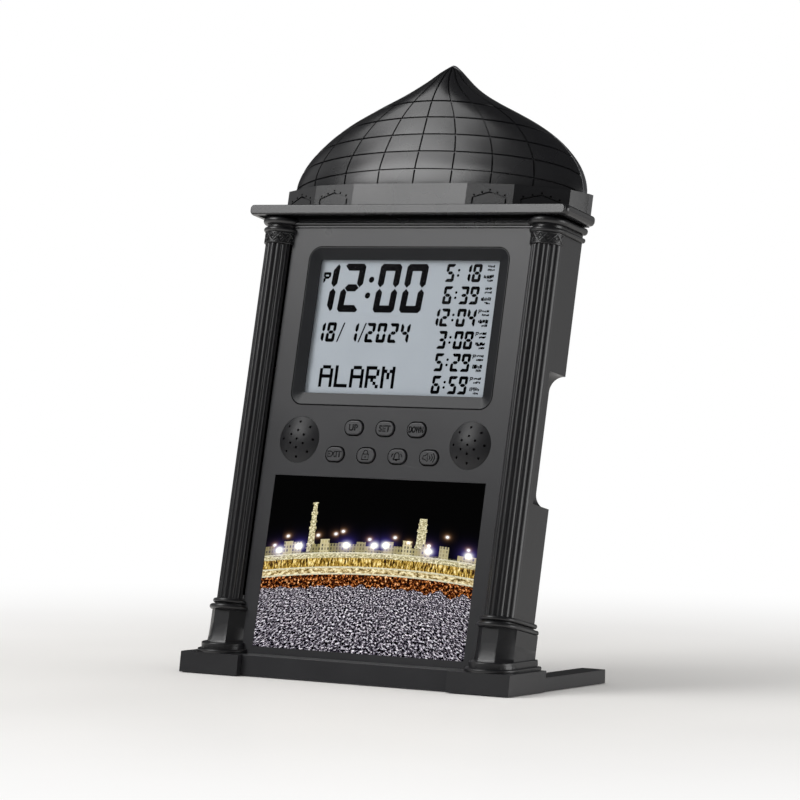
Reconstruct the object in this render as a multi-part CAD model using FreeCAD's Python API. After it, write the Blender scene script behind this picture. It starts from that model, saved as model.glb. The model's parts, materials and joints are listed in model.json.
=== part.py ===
"""Free-standing prayer-time clock: a slim case that leans back on two long feet.

The case has a dial panel with an LCD, keys and two small speakers, a reeded half
column on each side, a cornice, a faceted drum and a half dome above them.

Two frames are used. Level pieces (feet, plinth strip, base mouldings) are made
in X, Y, Z with Z up and the front towards -Y. Case pieces are made upright with
x across, y back from the panel's face and z up along the panel, and lean() then
tips them back. Every piece is moved by -Y_MID at the end, so that the origin is
the centre of the footprint on the surface that the clock stands on.
"""
import FreeCAD
import Part
import math
import os

V = FreeCAD.Vector

# ---- making -----------------------------------------------------------------
CUT = 400.0                 # size of the boxes that trim other shapes
OVER = 1.0                  # how far a cut runs past the face that it opens
SEAM = 0.1                  # gap between neighbouring mouldings
FIT = 0.1                   # clearance of loosely seated pieces
THREAD_FIT = 0.05           # pilot holes are wider than their screws by this
PILOT_FLOOR = 0.5           # material left under a pilot hole

# ---- stance -----------------------------------------------------------------
LEAN = 12.0                 # degrees that the case tips back
SEAT_Z = 8.0                # level seat of the case on the feet
PAD_PROUD = 0.3             # rubber pads stand this far below the feet

# ---- case shells ------------------------------------------------------------
PANEL_WALL = 2.0            # front wall of the panel
SIDE_WALL = 2.0             # side, top and bottom walls of the panel
COVER_WALL = 2.0            # thickness of the back cover
PARTS_ROOM = 0.8            # free depth behind the tallest part on the board

# ---- picture ----------------------------------------------------------------
PICTURE_LOW = 11.0
PICTURE_H = 65.4
PICTURE_MARGIN = 6.7        # panel beside the picture
PICTURE_T = 0.4
PICTURE_SINK = 0.1

# ---- keys -------------------------------------------------------------------
KEY_PITCH = 14.03
KEY_ROW_PITCH = 10.3
KEYS_ABOVE_PICTURE = 8.7    # lower key row above the picture's edge
KEY_W = 7.9
KEY_H = 5.3
KEY_PROUD = 0.6
KEY_ROUND = 0.35
KEY_GAP = 0.28
KEY_TRAVEL = 0.8
KEY_FLANGE = 0.8
KEY_FLANGE_T = 0.8
MAT_T = 0.8
MAT_MARGIN = 4.4            # keypad sheet beyond the middles of the outer keys
MAT_DOME_TIP_R = 1.4
MAT_DOME_FOOT_R = 2.4

# ---- display ----------------------------------------------------------------
LCD_W = 80.18
LCD_H = 51.47
LCD_CORNER_R = 0.6
BEZEL_ABOVE_KEYS = 8.45     # bezel's low edge above the upper key row
BEZEL_BAND = 4.75           # width of the sloping band
BEZEL_R = 5.0
BEZEL_RIM = 0.3             # flat rim around the sloping band
BEZEL_SINK = 1.2            # depth at the band's inner edge
BEZEL_LIP = 0.4
BEZEL_FLANGE = 2.0
BEZEL_FLANGE_T = 1.0
SIDE_MARGIN = 8.86          # panel beside the bezel
TOP_MARGIN = 7.48           # panel above the bezel
WINDOW_BORDER = 3.3         # window and glass reach this far behind the band
WINDOW_T = 1.0
GLASS_T = 2.2
GUIDE_T = 2.0
GUIDE_INSET = 3.6           # light guide ends short of the glass, top and bottom
STRIP_CONTACT_H = 2.4

# ---- speakers ---------------------------------------------------------------
GRILLE_R = 8.85
GRILLE_RISE = 2.0
GRILLE_INNER_RISE = 1.7
GRILLE_T = 1.2
GRILLE_FLANGE = 1.4
GRILLE_FLANGE_T = 1.0
GRILLE_HOLE_R = 0.5
GRILLE_RINGS = ((3.3, 6), (6.7, 8))     # radius and number of holes
SPEAKER_R = 11.5
SPEAKER_RIM_T = 1.0
SPEAKER_GAP = 0.5           # between a speaker and the board
SPEAKER_EDGE = 2.0          # between a speaker and the panel's side wall
BASKET_FRONT_R = 10.7
BASKET_BACK_R = 7.2
BASKET_DEPTH = 4.0
BASKET_WALL = 0.8
MOUTH_R = 10.4              # front radius of the space inside the basket
CONE_R = 9.6
CONE_SINK = 0.5
CONE_PAPER = 0.5
CONE_GAP = 0.3
DUST_CAP_R = 3.4
DUST_CAP_H = 1.2
MAGNET_R = 6.5
MAGNET_T = 3.0

# ---- circuit board ----------------------------------------------------------
BOARD_T = 1.6
BOARD_EDGE_GAP = 0.5
BOARD_BELOW_BEZEL = 0.45    # the board is narrow below this distance
BOARD_BELOW_KEYS = 9.7      # board's low edge under the lower key row
NECK_MARGIN = 0.75          # board beyond the keypad sheet
BOARD_POST_IN = 1.9         # posts from the board's side edges
BOARD_POST_UP = 2.8         # posts from the board's upper and lower edges
BOARD_POST_R = 2.2
BOARD_CLEAR = 0.3           # between the board's edges and posts or screws
CHIP = (0.0, 133.0, 14.0, 14.0, 1.8)            # middle x and z, width, height, thickness
AMPLIFIER = (19.0, 115.0, 10.0, 6.0, 2.0)
CRYSTAL = (17.0, 135.2, 10.0, 4.5, 3.2)
CONNECTOR = (-35.0, 152.0, 10.0, 8.0, 3.5)
LARGE_CAN = (3.1, 3.8)                          # radius and height
SMALL_CAN = (2.0, 3.4)
LARGE_CAN_SPOTS = ((-20.0, 118.0), (-28.0, 118.0))
SMALL_CAN_SPOT = (30.0, 150.0)
LEAD_R = 0.6                # insulated wires
LEAD_SPACE = 4.0            # between the two wires of a pair
BATTERY_LEAD_X = 22.0
LEAD_JOG = 4.0              # sideways step of a wire on its way
LEAD_ON_BOARD = 4.6         # length of wire that lies on the board

# ---- columns ----------------------------------------------------------------
COLUMN_Y = 1.3              # column axis behind the panel's face
COLUMN_R = 6.1              # half-round radius over the reeds
COLUMN_WALL = 2.0
COLUMN_CORE = 2.0           # the hollow's front ahead of the column axis
REEDS = 7
REED_DEPTH = 0.55
CAPITAL_DROP = 10.3         # foot of the capital under the slab
CAPITAL_R = 6.4
CAPITAL_H = 4.4
LOW_TORUS_R = 7.4           # outer radius of the lower ring on the capital
LOW_TORUS_TUBE = 0.95
LOW_TORUS_DROP = 5.0
HIGH_TORUS_R = 8.0
HIGH_TORUS_TUBE = 1.4
HIGH_TORUS_DROP = 1.6

# finger recess in the outer side of each column
RECESS_LOW = 70.3
RECESS_H = 49.3
RECESS_IN = 6.2             # how far it goes in from the side
RECESS_FRONT = 3.7          # depth behind the panel's face where it starts
RECESS_R = 5.8
NICK_UPS = (12.1, 18.7, 26.5, 34.1)     # nicks above the recess's floor
NICK_H = 1.0
NICK_DEEP = 1.2

# ---- pedestals --------------------------------------------------------------
PEDESTAL_HALF = 8.2         # half of the width over the flats
PEDESTAL_FRONT = 4.5        # front flat ahead of the panel's face
PEDESTAL_TOP = 23.7
FLARE = ((9.3, 0.7), (11.4, 0.42), (13.3, 0.2), (15.5, 0.06), (18.0, 0.0))    # height, and growth of the flats
BASE_TORUS_R = 8.4
BASE_TORUS_TUBE = 0.95
BASE_TORUS_GAP = 0.5
NECK_TORUS_R = 7.4
NECK_TORUS_TUBE = 0.9
STEP_LOW_R = 10.7           # lower level moulding under the pedestal
STEP_LOW_H = 1.3
STEP_HIGH_R = 9.2
STEP_HIGH_H = 2.4
STEP_BEHIND = 3.2           # mouldings reach this far behind the case at their level
STEP_ROUND = 0.5

# ---- feet and plinth --------------------------------------------------------
FOOT_HALF = 13.3            # half width of the block under a column
FOOT_FRONT = 8.55           # front of the block ahead of the panel's foot line
FOOT_BEHIND = 1.4           # back of the block behind the case
FOOT_RAKE = 1.1             # the block's front and back lean by this much
FOOT_WALL = 2.0
RUNNER_INSET = 1.1          # runner's outer side inside the block's
RUNNER_W = 10.6
RUNNER_END = 64.5
RUNNER_H = 5.2
RUNNER_RAKE = 2.2
RUNNER_CORNER = 2.5
STRIP_BACK_STEP = 2.65      # the strip's face lies behind the blocks' faces
STRIP_WALL = 2.0
STRIP_DEPTH = 18.0
PAD_R = 3.0
PAD_T = 1.0
PAD_INSET = 5.5

# ---- cornice, drum, dome ----------------------------------------------------
FRIEZE_FRONT = 0.8
FRIEZE_H = 3.5
BEAD_R = 0.85
BEAD_UP = 1.3
SLAB_OVER = 5.5             # the slab overhangs the columns by this
SLAB_FRONT = 7.4
SLAB_H = 4.0
SLAB_ROUND = 1.7
SLAB_CORNER = 2.4            # plan radius of the slab's front corners
DRUM_INSET = 3.2            # drum's side behind the slab's side
DRUM_H = 8.4
DRUM_WALL = 2.0
DRUM_FACE_HALF = 25.4       # half of the wide front facet
DRUM_FACE_Y = -5.0
DRUM_TURNS = ((23.1, -2.4), (4.2, 6.6), (1.0, 11.6))    # next corners: in from the side, and y
DOME_INSET = 2.8            # dome's widest ring inside the drum's side
DOME_WALL = 2.0
DOME_DROP = 1.0             # the hollow's rings lie this much lower
DOME_TILT = 15.0            # the dome's rings dip to the back by this angle
# dome rings: height above the drum and reach ahead of the case's back
DOME_RINGS = ((-4.2, 18.3), (1.8, 18.5), (7.3, 18.2), (13.8, 17.0), (20.8, 15.7), (27.8, 14.3),
              (33.8, 12.8), (38.8, 10.8), (43.8, 7.8), (48.2, 4.4), (50.8, 1.4))
DOME_SHARES = (0.988, 1.0, 0.997, 0.954, 0.859, 0.7095, 0.517, 0.330, 0.180, 0.0826, 0.0168)
DOME_FILL_RINGS = 2         # the top rings that stay solid inside
RING_STEP = 15              # degrees between the points of a ring

# ---- fasteners --------------------------------------------------------------
SCREW_R = 1.3
SCREW_HEAD_R = 2.4
SCREW_HEAD_T = 1.7
SLOT_HALF = 0.3
SLOT_DEEP = 0.4
BOARD_SCREW_R = 0.9
BOARD_SCREW_HEAD_R = 1.8
BOARD_SCREW_HEAD_T = 1.2
BOARD_SCREW_L = 4.0
COVER_POST_R = 2.9
COVER_POST_IN = 4.4         # lower posts' wells from the panel's side wall
COVER_POST_LOW = 11.0       # lowest posts above the picture's low edge
COVER_POST_MID = 10.4       # middle posts under the picture's upper edge
DOME_POST_X = 36.0
DOME_POST_UP = 8.8
WELL_R = 3.3
WELL_DEEP = 2.0
WELL_FLOOR = 1.6
COVER_SCREW_L = 8.0
COLUMN_SCREW_LOW = 12.3     # screws below and above the finger recess
COLUMN_SCREW_HIGH = 15.4
COLUMN_SCREW_GAP = 0.2      # between these screws' heads and the cover
COLUMN_SCREW_L = 7.0
FOOT_SCREW_Y = 6.0
FOOT_SCREW_L = 12.0
FOOT_BOSS_R = 3.6
FOOT_BOSS_H = 2.0
STRIP_SCREW_X = 30.0
STRIP_SCREW_Y = 8.0
STRIP_SCREW_L = 8.0
STRIP_BOSS_R = 3.0

# ---- batteries --------------------------------------------------------------
CELL_R = 7.25
CELL_L = 49.3
CELL_NUB_R = 2.75
CELL_NUB_L = 1.2
CELL_SPACE = 0.9            # between the two cells
CELL_BACK_GAP = 0.5         # between the cells and the top of the bay
BAY_MID_Z = 39.0
BAY_EDGE = 3.05             # between a cell and the bay's long wall
BAY_WALL = 1.5
BAY_FLOOR_Y = 3.9
BAY_FLOOR_T = 1.1
HUMP_WALL = 2.0
HUMP_R = 3.0
DOOR_T = 2.0
DOOR_GAP = 0.2
DOOR_TRAVEL = 8.0
RIB_T = 1.2
RIB_DEEP = 1.6
RIB_GAP = 0.3
RIB_INSET = 1.0
GRIP_COUNT = 5
GRIP_INSET = 12.0
GRIP_PITCH = 2.0
GRIP_W = 0.9
GRIP_DEEP = 0.5
GRIP_HALF = 7.0
CONTACT_T = 0.4
CONTACT_INSET = 1.0         # plates end this far inside the cells' outline
SPRING_ROOM = 8.5           # length left for a cell's spring
SPRING_WIRE = 0.8
SPRING_WIDE_R = 4.4
SPRING_NARROW_R = 2.6
SPRING_COILS = 7

# ---- derived: panel, from its foot to its top --------------------------------
PICTURE_HIGH = PICTURE_LOW + PICTURE_H
KEY_ROW_LOW = PICTURE_HIGH + KEYS_ABOVE_PICTURE
KEY_ROW_TOP = KEY_ROW_LOW + KEY_ROW_PITCH
SPEAKER_Z = (KEY_ROW_LOW + KEY_ROW_TOP) / 2.0
BEZEL_LOW = KEY_ROW_TOP + BEZEL_ABOVE_KEYS
BEZEL_HIGH = BEZEL_LOW + LCD_H + 2 * BEZEL_BAND
PANEL_TOP = BEZEL_HIGH + TOP_MARGIN
SLAB_LOW = PANEL_TOP + FRIEZE_H
SLAB_TOP = SLAB_LOW + SLAB_H
DRUM_TOP = SLAB_TOP + DRUM_H
BEAD_Z = PANEL_TOP + BEAD_UP
SHAFT_TOP = SLAB_LOW - CAPITAL_DROP
LOW_TORUS_Z = SLAB_LOW - LOW_TORUS_DROP
HIGH_TORUS_Z = SLAB_LOW - HIGH_TORUS_DROP
SHAFT_LOW = PEDESTAL_TOP + 2 * BASE_TORUS_TUBE + BASE_TORUS_GAP + 2 * NECK_TORUS_TUBE
RECESS_HIGH = RECESS_LOW + RECESS_H

# ---- derived: across ----------------------------------------------------------
LCD_HALF = LCD_W / 2.0
BEZEL_HALF = LCD_HALF + BEZEL_BAND
MAT_HALF = 1.5 * KEY_PITCH + MAT_MARGIN
BOARD_NECK_HALF = MAT_HALF + NECK_MARGIN
DISPLAY_ROOM = BEZEL_HALF + SIDE_MARGIN
SPEAKER_ROOM = BOARD_NECK_HALF + SPEAKER_GAP + 2 * SPEAKER_R + SPEAKER_EDGE + SIDE_WALL
PANEL_HALF = max(DISPLAY_ROOM, SPEAKER_ROOM)
PANEL_INNER = PANEL_HALF - SIDE_WALL
PICTURE_HALF = PANEL_HALF - PICTURE_MARGIN
SPEAKER_X = PANEL_INNER - SPEAKER_EDGE - SPEAKER_R
COLUMN_X = PANEL_HALF + COLUMN_R
SIDE_X = COLUMN_X + COLUMN_R
SLAB_HALF = SIDE_X + SLAB_OVER
DRUM_HALF = SLAB_HALF - DRUM_INSET
DOME_HALF = DRUM_HALF - DOME_INSET
FOOT_IN = COLUMN_X - FOOT_HALF
FOOT_OUT = COLUMN_X + FOOT_HALF
RUNNER_OUT = FOOT_OUT - RUNNER_INSET
RUNNER_IN = RUNNER_OUT - RUNNER_W
BOARD_HALF = PANEL_INNER - BOARD_EDGE_GAP

# ---- derived: from front to back ------------------------------------------------
WINDOW_Y = BEZEL_SINK + BEZEL_LIP
GLASS_Y = WINDOW_Y + WINDOW_T
GUIDE_Y = GLASS_Y + GLASS_T
BOARD_Y = GUIDE_Y + GUIDE_T
BOARD_BACK = BOARD_Y + BOARD_T
COVER_Y = BOARD_BACK + LARGE_CAN[1] + PARTS_ROOM
CASE_DEPTH = COVER_Y + COVER_WALL
POST_END_Y = CASE_DEPTH - WELL_DEEP - WELL_FLOOR
COLUMN_SCREW_Y = COVER_Y - SCREW_HEAD_R - COLUMN_SCREW_GAP
MAT_Y = BOARD_Y - MAT_T
KEY_BACK_Y = PANEL_WALL + FIT + KEY_FLANGE_T
CELL_Y = BAY_FLOOR_Y + CELL_R + FIT
HUMP_TOP = CELL_Y + CELL_R + CELL_BACK_GAP
DOOR_Y = HUMP_TOP + DOOR_GAP
LEAD_Y = BOARD_BACK + LEAD_R
FOOT_FRONT_TOP = FOOT_FRONT - FOOT_RAKE
FOOT_BACK = CASE_DEPTH + FOOT_BEHIND
STEP_BACK = CASE_DEPTH + STEP_BEHIND
Y_MID = (RUNNER_END - FOOT_FRONT) / 2.0

# ---- derived: inner pieces --------------------------------------------------------
LCD_LOW = BEZEL_LOW + BEZEL_BAND
LCD_HIGH = BEZEL_HIGH - BEZEL_BAND
GLASS_HALF = LCD_HALF + WINDOW_BORDER
GLASS_LOW = LCD_LOW - WINDOW_BORDER
GLASS_HIGH = LCD_HIGH + WINDOW_BORDER
COVER_POST_X = PANEL_INNER - WELL_R - COVER_POST_IN
TOP_POST_X = PANEL_INNER - WELL_R - FIT
TOP_POST_Z = PANEL_TOP - SIDE_WALL - WELL_R - FIT
BOARD_TOP = TOP_POST_Z - COVER_POST_R - BOARD_CLEAR
BOARD_STEP = BEZEL_LOW - BOARD_BELOW_BEZEL
BOARD_LOW = KEY_ROW_LOW - BOARD_BELOW_KEYS
BOARD_POST_X = BOARD_HALF - BOARD_POST_IN
CELL_PITCH = 2 * CELL_R + CELL_SPACE
BAY_HALF = (CELL_L + CELL_NUB_L + SPRING_ROOM + 2 * CONTACT_T + 2 * FIT) / 2.0
BAY_HALF_H = CELL_PITCH / 2.0 + CELL_R + BAY_EDGE
COLUMN_SCREW_ZS = (RECESS_LOW - COLUMN_SCREW_LOW, RECESS_HIGH + COLUMN_SCREW_HIGH)
COVER_POSTS = [(side * COVER_POST_X, z) for side in (-1, 1)
               for z in (PICTURE_LOW + COVER_POST_LOW, PICTURE_HIGH - COVER_POST_MID)]
COVER_POSTS += [(side * TOP_POST_X, TOP_POST_Z) for side in (-1, 1)]
DOME_POSTS = [(side * DOME_POST_X, DRUM_TOP + DOME_POST_UP) for side in (-1, 1)]
BOARD_POSTS = [(side * BOARD_POST_X, z) for side in (-1, 1)
               for z in (BOARD_STEP + BOARD_POST_UP, BOARD_TOP - BOARD_POST_UP)]
BOARD_POSTS += [(0.0, BOARD_LOW + BOARD_POST_UP)]
KEYS = (("up_key", -1.0, KEY_ROW_TOP), ("set_key", 0.0, KEY_ROW_TOP), ("down_key", 1.0, KEY_ROW_TOP),
        ("exit_key", -1.5, KEY_ROW_LOW), ("lock_key", -0.5, KEY_ROW_LOW),
        ("alarm_key", 0.5, KEY_ROW_LOW), ("volume_key", 1.5, KEY_ROW_LOW))


# ---- helpers ----------------------------------------------------------------
def box(x0, x1, y0, y1, z0, z1):
    return Part.makeBox(x1 - x0, y1 - y0, z1 - z0, V(x0, y0, z0))


def rod(radius, start, direction, length):
    return Part.makeCylinder(radius, length, start, direction)


def rod_y(radius, x, z, y0, y1):
    return rod(radius, V(x, y0, z), V(0, 1, 0), y1 - y0)


def polygon(points):
    corners = [V(*point) for point in points]
    return Part.makePolygon(corners + corners[:1])


def prism(points, direction):
    return Part.Face(polygon(points)).extrude(direction)


def rounded_rect(half, low, high, radius, y):
    """Wire of a rectangle with round corners in the plane y."""
    edges = []
    corners = ((half, low, -90), (half, high, 0), (-half, high, 90), (-half, low, 180))
    for x, z, start in corners:
        cx = x - math.copysign(radius, x)
        cz = z + (radius if z == low else -radius)
        ends = []
        for turn in (start, start + 45, start + 90):
            angle = math.radians(turn)
            ends.append(V(cx + radius * math.cos(angle), y, cz + radius * math.sin(angle)))
        edges.append(ends)
    wire_edges = []
    for index, ends in enumerate(edges):
        wire_edges.append(Part.Arc(*ends).toShape())
        following = edges[(index + 1) % len(edges)]
        wire_edges.append(Part.makeLine(ends[2], following[0]))
    return Part.Wire(wire_edges)


def rounded_plate(half, low, high, radius, y0, y1):
    return Part.Face(rounded_rect(half, low, high, radius, y0)).extrude(V(0, y1 - y0, 0))


def lean(shape):
    """Tip a piece from the upright case frame into the level frame."""
    turned = shape.copy()
    turned.rotate(V(0, 0, 0), V(1, 0, 0), -LEAN)
    return turned


def above(shape, z):
    """Keep what lies above a level plane."""
    return shape.cut(box(-CUT, CUT, -CUT, CUT, -CUT, z))


def mirror_x(shape):
    return shape.mirror(V(0, 0, 0), V(1, 0, 0))


def fuse_all(shapes):
    whole = shapes[0].fuse(shapes[1:]) if len(shapes) > 1 else shapes[0]
    return whole.removeSplitter()


def export(name, shape):
    moved = shape.copy()
    moved.translate(V(0, -Y_MID, 0))
    moved.exportStep("parts/" + name + ".step")


def u_face(x, y, radius, back, z):
    """Plan of a half-round front with straight sides that run back."""
    arc = Part.Arc(V(x - radius, y, z), V(x, y - radius, z), V(x + radius, y, z)).toShape()
    right = Part.makeLine(V(x + radius, y, z), V(x + radius, back, z))
    rear = Part.makeLine(V(x + radius, back, z), V(x - radius, back, z))
    left = Part.makeLine(V(x - radius, back, z), V(x - radius, y, z))
    return Part.Face(Part.Wire([arc, right, rear, left]))


def u_block(x, y, radius, back, low, high):
    return u_face(x, y, radius, back, low).extrude(V(0, 0, high - low))


def u_torus(x, y, radius, tube, back, z):
    """Ring of a round section around a half-round front, with straight sides."""
    path = radius - tube
    ring = Part.makeTorus(path, tube, V(x, y, z), V(0, 0, 1))
    ring = ring.common(box(x - CUT, x + CUT, y - CUT, y, z - CUT, z + CUT))
    core = u_block(x, y, path, back, z - tube, z + tube)
    sides = [rod(tube, V(x + side * path, y, z), V(0, 1, 0), back - y) for side in (-1, 1)]
    return core.fuse([ring] + sides)


# ---- case: panel ------------------------------------------------------------
def key_face(width, height, x, z, y):
    """Oval key outline: two half circles and two straight runs."""
    end = height / 2.0
    run = width / 2.0 - end
    top = Part.makeLine(V(x - run, y, z + end), V(x + run, y, z + end))
    right = Part.Arc(V(x + run, y, z + end), V(x + run + end, y, z), V(x + run, y, z - end)).toShape()
    low = Part.makeLine(V(x + run, y, z - end), V(x - run, y, z - end))
    left = Part.Arc(V(x - run, y, z - end), V(x - run - end, y, z), V(x - run, y, z + end)).toShape()
    return Part.Face(Part.Wire([top, right, low, left]))


def key_block(grow, x, z, y0, y1):
    face = key_face(KEY_W + 2 * grow, KEY_H + 2 * grow, x, z, y0)
    return face.extrude(V(0, y1 - y0, 0))


def front_panel():
    shell = lean(box(-PANEL_HALF, PANEL_HALF, 0, COVER_Y, -PANEL_TOP, PANEL_TOP))
    shell = above(shell, SEAT_Z)
    inside = lean(box(-PANEL_INNER, PANEL_INNER, PANEL_WALL, CUT, -PANEL_TOP, PANEL_TOP - SIDE_WALL))
    shell = shell.cut(above(inside, SEAT_Z + SIDE_WALL))
    adds = []
    for x, z in BOARD_POSTS:
        adds.append(lean(rod_y(BOARD_POST_R, x, z, PANEL_WALL, BOARD_Y)))
    for x, z in COVER_POSTS:
        adds.append(lean(rod_y(COVER_POST_R, x, z, PANEL_WALL, POST_END_Y)))
    for side in (-1, 1):
        adds.append(rod(STRIP_BOSS_R, V(side * STRIP_SCREW_X, STRIP_SCREW_Y, SEAT_Z), V(0, 0, 1),
                        STRIP_SCREW_L + OVER))
    shell = shell.fuse(adds)
    cuts = [rounded_plate(BEZEL_HALF + SEAM, BEZEL_LOW - SEAM, BEZEL_HIGH + SEAM, BEZEL_R + SEAM,
                          -OVER, PANEL_WALL + OVER)]
    for name, column, z in KEYS:
        cuts.append(key_block(KEY_GAP, column * KEY_PITCH, z, -OVER, PANEL_WALL + OVER))
    for side in (-1, 1):
        cuts.append(rod_y(GRILLE_R + SEAM, side * SPEAKER_X, SPEAKER_Z, -OVER, PANEL_WALL + OVER))
        for z in COLUMN_SCREW_ZS:
            start = V(side * (PANEL_INNER - OVER), COLUMN_SCREW_Y, z)
            cuts.append(rod(SCREW_R + FIT, start, V(side, 0, 0), SIDE_WALL + 2 * OVER))
    cuts.append(box(-PICTURE_HALF - SEAM, PICTURE_HALF + SEAM, -OVER, PICTURE_SINK + PICTURE_T,
                    PICTURE_LOW - SEAM, PICTURE_HIGH + SEAM))
    for x, z in BOARD_POSTS:
        cuts.append(rod_y(BOARD_SCREW_R + THREAD_FIT, x, z, PANEL_WALL + PILOT_FLOOR, BOARD_Y + OVER))
    for x, z in COVER_POSTS:
        cuts.append(rod_y(SCREW_R + THREAD_FIT, x, z, PANEL_WALL + PILOT_FLOOR, POST_END_Y + OVER))
    shell = shell.cut([lean(cut) for cut in cuts])
    for side in (-1, 1):
        start = V(side * STRIP_SCREW_X, STRIP_SCREW_Y, SEAT_Z - OVER)
        shell = shell.cut(rod(SCREW_R + THREAD_FIT, start, V(0, 0, 1), STRIP_SCREW_L + OVER))
    return shell


def picture_card():
    return lean(box(-PICTURE_HALF, PICTURE_HALF, PICTURE_SINK, PICTURE_SINK + PICTURE_T,
                    PICTURE_LOW, PICTURE_HIGH))


# ---- case: columns ----------------------------------------------------------
def reeded_face(z):
    """Plan of the shaft: reeds around the front that end in flat sides, and a flat back."""
    valley = COLUMN_R - REED_DEPTH
    edges = []
    step = 180.0 / REEDS

    def point(radius, turn):
        angle = math.radians(180.0 + turn)
        return V(COLUMN_X + radius * math.cos(angle), COLUMN_Y + radius * math.sin(angle), z)

    left = V(COLUMN_X - COLUMN_R, COLUMN_Y, z)
    right = V(COLUMN_X + COLUMN_R, COLUMN_Y, z)
    valleys = [left] + [point(valley, index * step) for index in range(1, REEDS)] + [right]
    for index in range(REEDS):
        crest = point(COLUMN_R, (index + 0.5) * step)
        edges.append(Part.Arc(valleys[index], crest, valleys[index + 1]).toShape())
    back_right = V(right.x, CASE_DEPTH, z)
    back_left = V(left.x, CASE_DEPTH, z)
    edges.append(Part.makeLine(right, back_right))
    edges.append(Part.makeLine(back_right, back_left))
    edges.append(Part.makeLine(back_left, left))
    return Part.Face(Part.Wire(edges))


def recess_block(grow, front, back):
    """Space of the finger recess, with round inner corners seen from behind."""
    x = SIDE_X - RECESS_IN - grow
    low = RECESS_LOW - grow
    high = RECESS_HIGH + grow
    radius = RECESS_R + grow
    mid = radius * (1 - math.sqrt(0.5))
    out = SIDE_X + OVER
    low_arc = Part.Arc(V(x + radius, front, low), V(x + mid, front, low + mid),
                       V(x, front, low + radius)).toShape()
    inner = Part.makeLine(V(x, front, low + radius), V(x, front, high - radius))
    high_arc = Part.Arc(V(x, front, high - radius), V(x + mid, front, high - mid),
                        V(x + radius, front, high)).toShape()
    high_run = Part.makeLine(V(x + radius, front, high), V(out, front, high))
    outer = Part.makeLine(V(out, front, high), V(out, front, low))
    low_run = Part.makeLine(V(out, front, low), V(x + radius, front, low))
    face = Part.Face(Part.Wire([low_arc, inner, high_arc, high_run, outer, low_run]))
    return face.extrude(V(0, back - front, 0))


def column():
    """Right-hand column: reeded shaft, capital and its two rings, open to the panel."""
    shaft = reeded_face(SHAFT_LOW).extrude(V(0, 0, SHAFT_TOP - SHAFT_LOW))
    capital = u_block(COLUMN_X, COLUMN_Y, CAPITAL_R, COLUMN_Y + SEAM, SHAFT_TOP, SHAFT_TOP + CAPITAL_H)
    neck = u_block(COLUMN_X, COLUMN_Y, COLUMN_R, CASE_DEPTH, SHAFT_TOP, SLAB_LOW)
    low_ring = u_torus(COLUMN_X, COLUMN_Y, LOW_TORUS_R, LOW_TORUS_TUBE, CASE_DEPTH, LOW_TORUS_Z)
    high_ring = u_torus(COLUMN_X, COLUMN_Y, HIGH_TORUS_R, HIGH_TORUS_TUBE, CASE_DEPTH, HIGH_TORUS_Z)
    body = shaft.fuse([capital, neck, low_ring, high_ring])
    hollow = box(PANEL_HALF - OVER, SIDE_X - COLUMN_WALL, COLUMN_Y - COLUMN_CORE, COVER_Y,
                 SHAFT_LOW + COLUMN_WALL, SHAFT_TOP)
    hollow = hollow.cut(recess_block(COLUMN_WALL, RECESS_FRONT - COLUMN_WALL, CASE_DEPTH))
    for z in COLUMN_SCREW_ZS:
        boss = rod(COVER_POST_R, V(PANEL_HALF, COLUMN_SCREW_Y, z), V(1, 0, 0), SIDE_X - PANEL_HALF)
        hollow = hollow.cut(boss)
    body = body.cut(hollow)
    body = body.cut(recess_block(0.0, RECESS_FRONT, CASE_DEPTH + OVER))
    panel_space = box(0, PANEL_HALF, 0, CUT, 0, SLAB_LOW + OVER)
    body = body.cut(panel_space)
    for z in COLUMN_SCREW_ZS:
        pilot = rod(SCREW_R + THREAD_FIT, V(PANEL_HALF - OVER, COLUMN_SCREW_Y, z), V(1, 0, 0),
                    COLUMN_SCREW_L)
        body = body.cut(pilot)
    for up in NICK_UPS:
        z = RECESS_LOW + up
        nick = box(SIDE_X - RECESS_IN, SIDE_X + OVER, RECESS_FRONT - NICK_DEEP, RECESS_FRONT + OVER,
                   z - NICK_H / 2, z + NICK_H / 2)
        body = body.cut(nick)
    return lean(body)


def octagon(half, z):
    """Plan of the pedestal: three front flats and straight sides to the back."""
    corner = half * math.tan(math.radians(22.5))
    mid_y = PEDESTAL_HALF - PEDESTAL_FRONT
    front = mid_y - half
    return ((COLUMN_X - half, CASE_DEPTH, z), (COLUMN_X - half, mid_y - corner, z),
            (COLUMN_X - corner, front, z), (COLUMN_X + corner, front, z),
            (COLUMN_X + half, mid_y - corner, z), (COLUMN_X + half, CASE_DEPTH, z))


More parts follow.
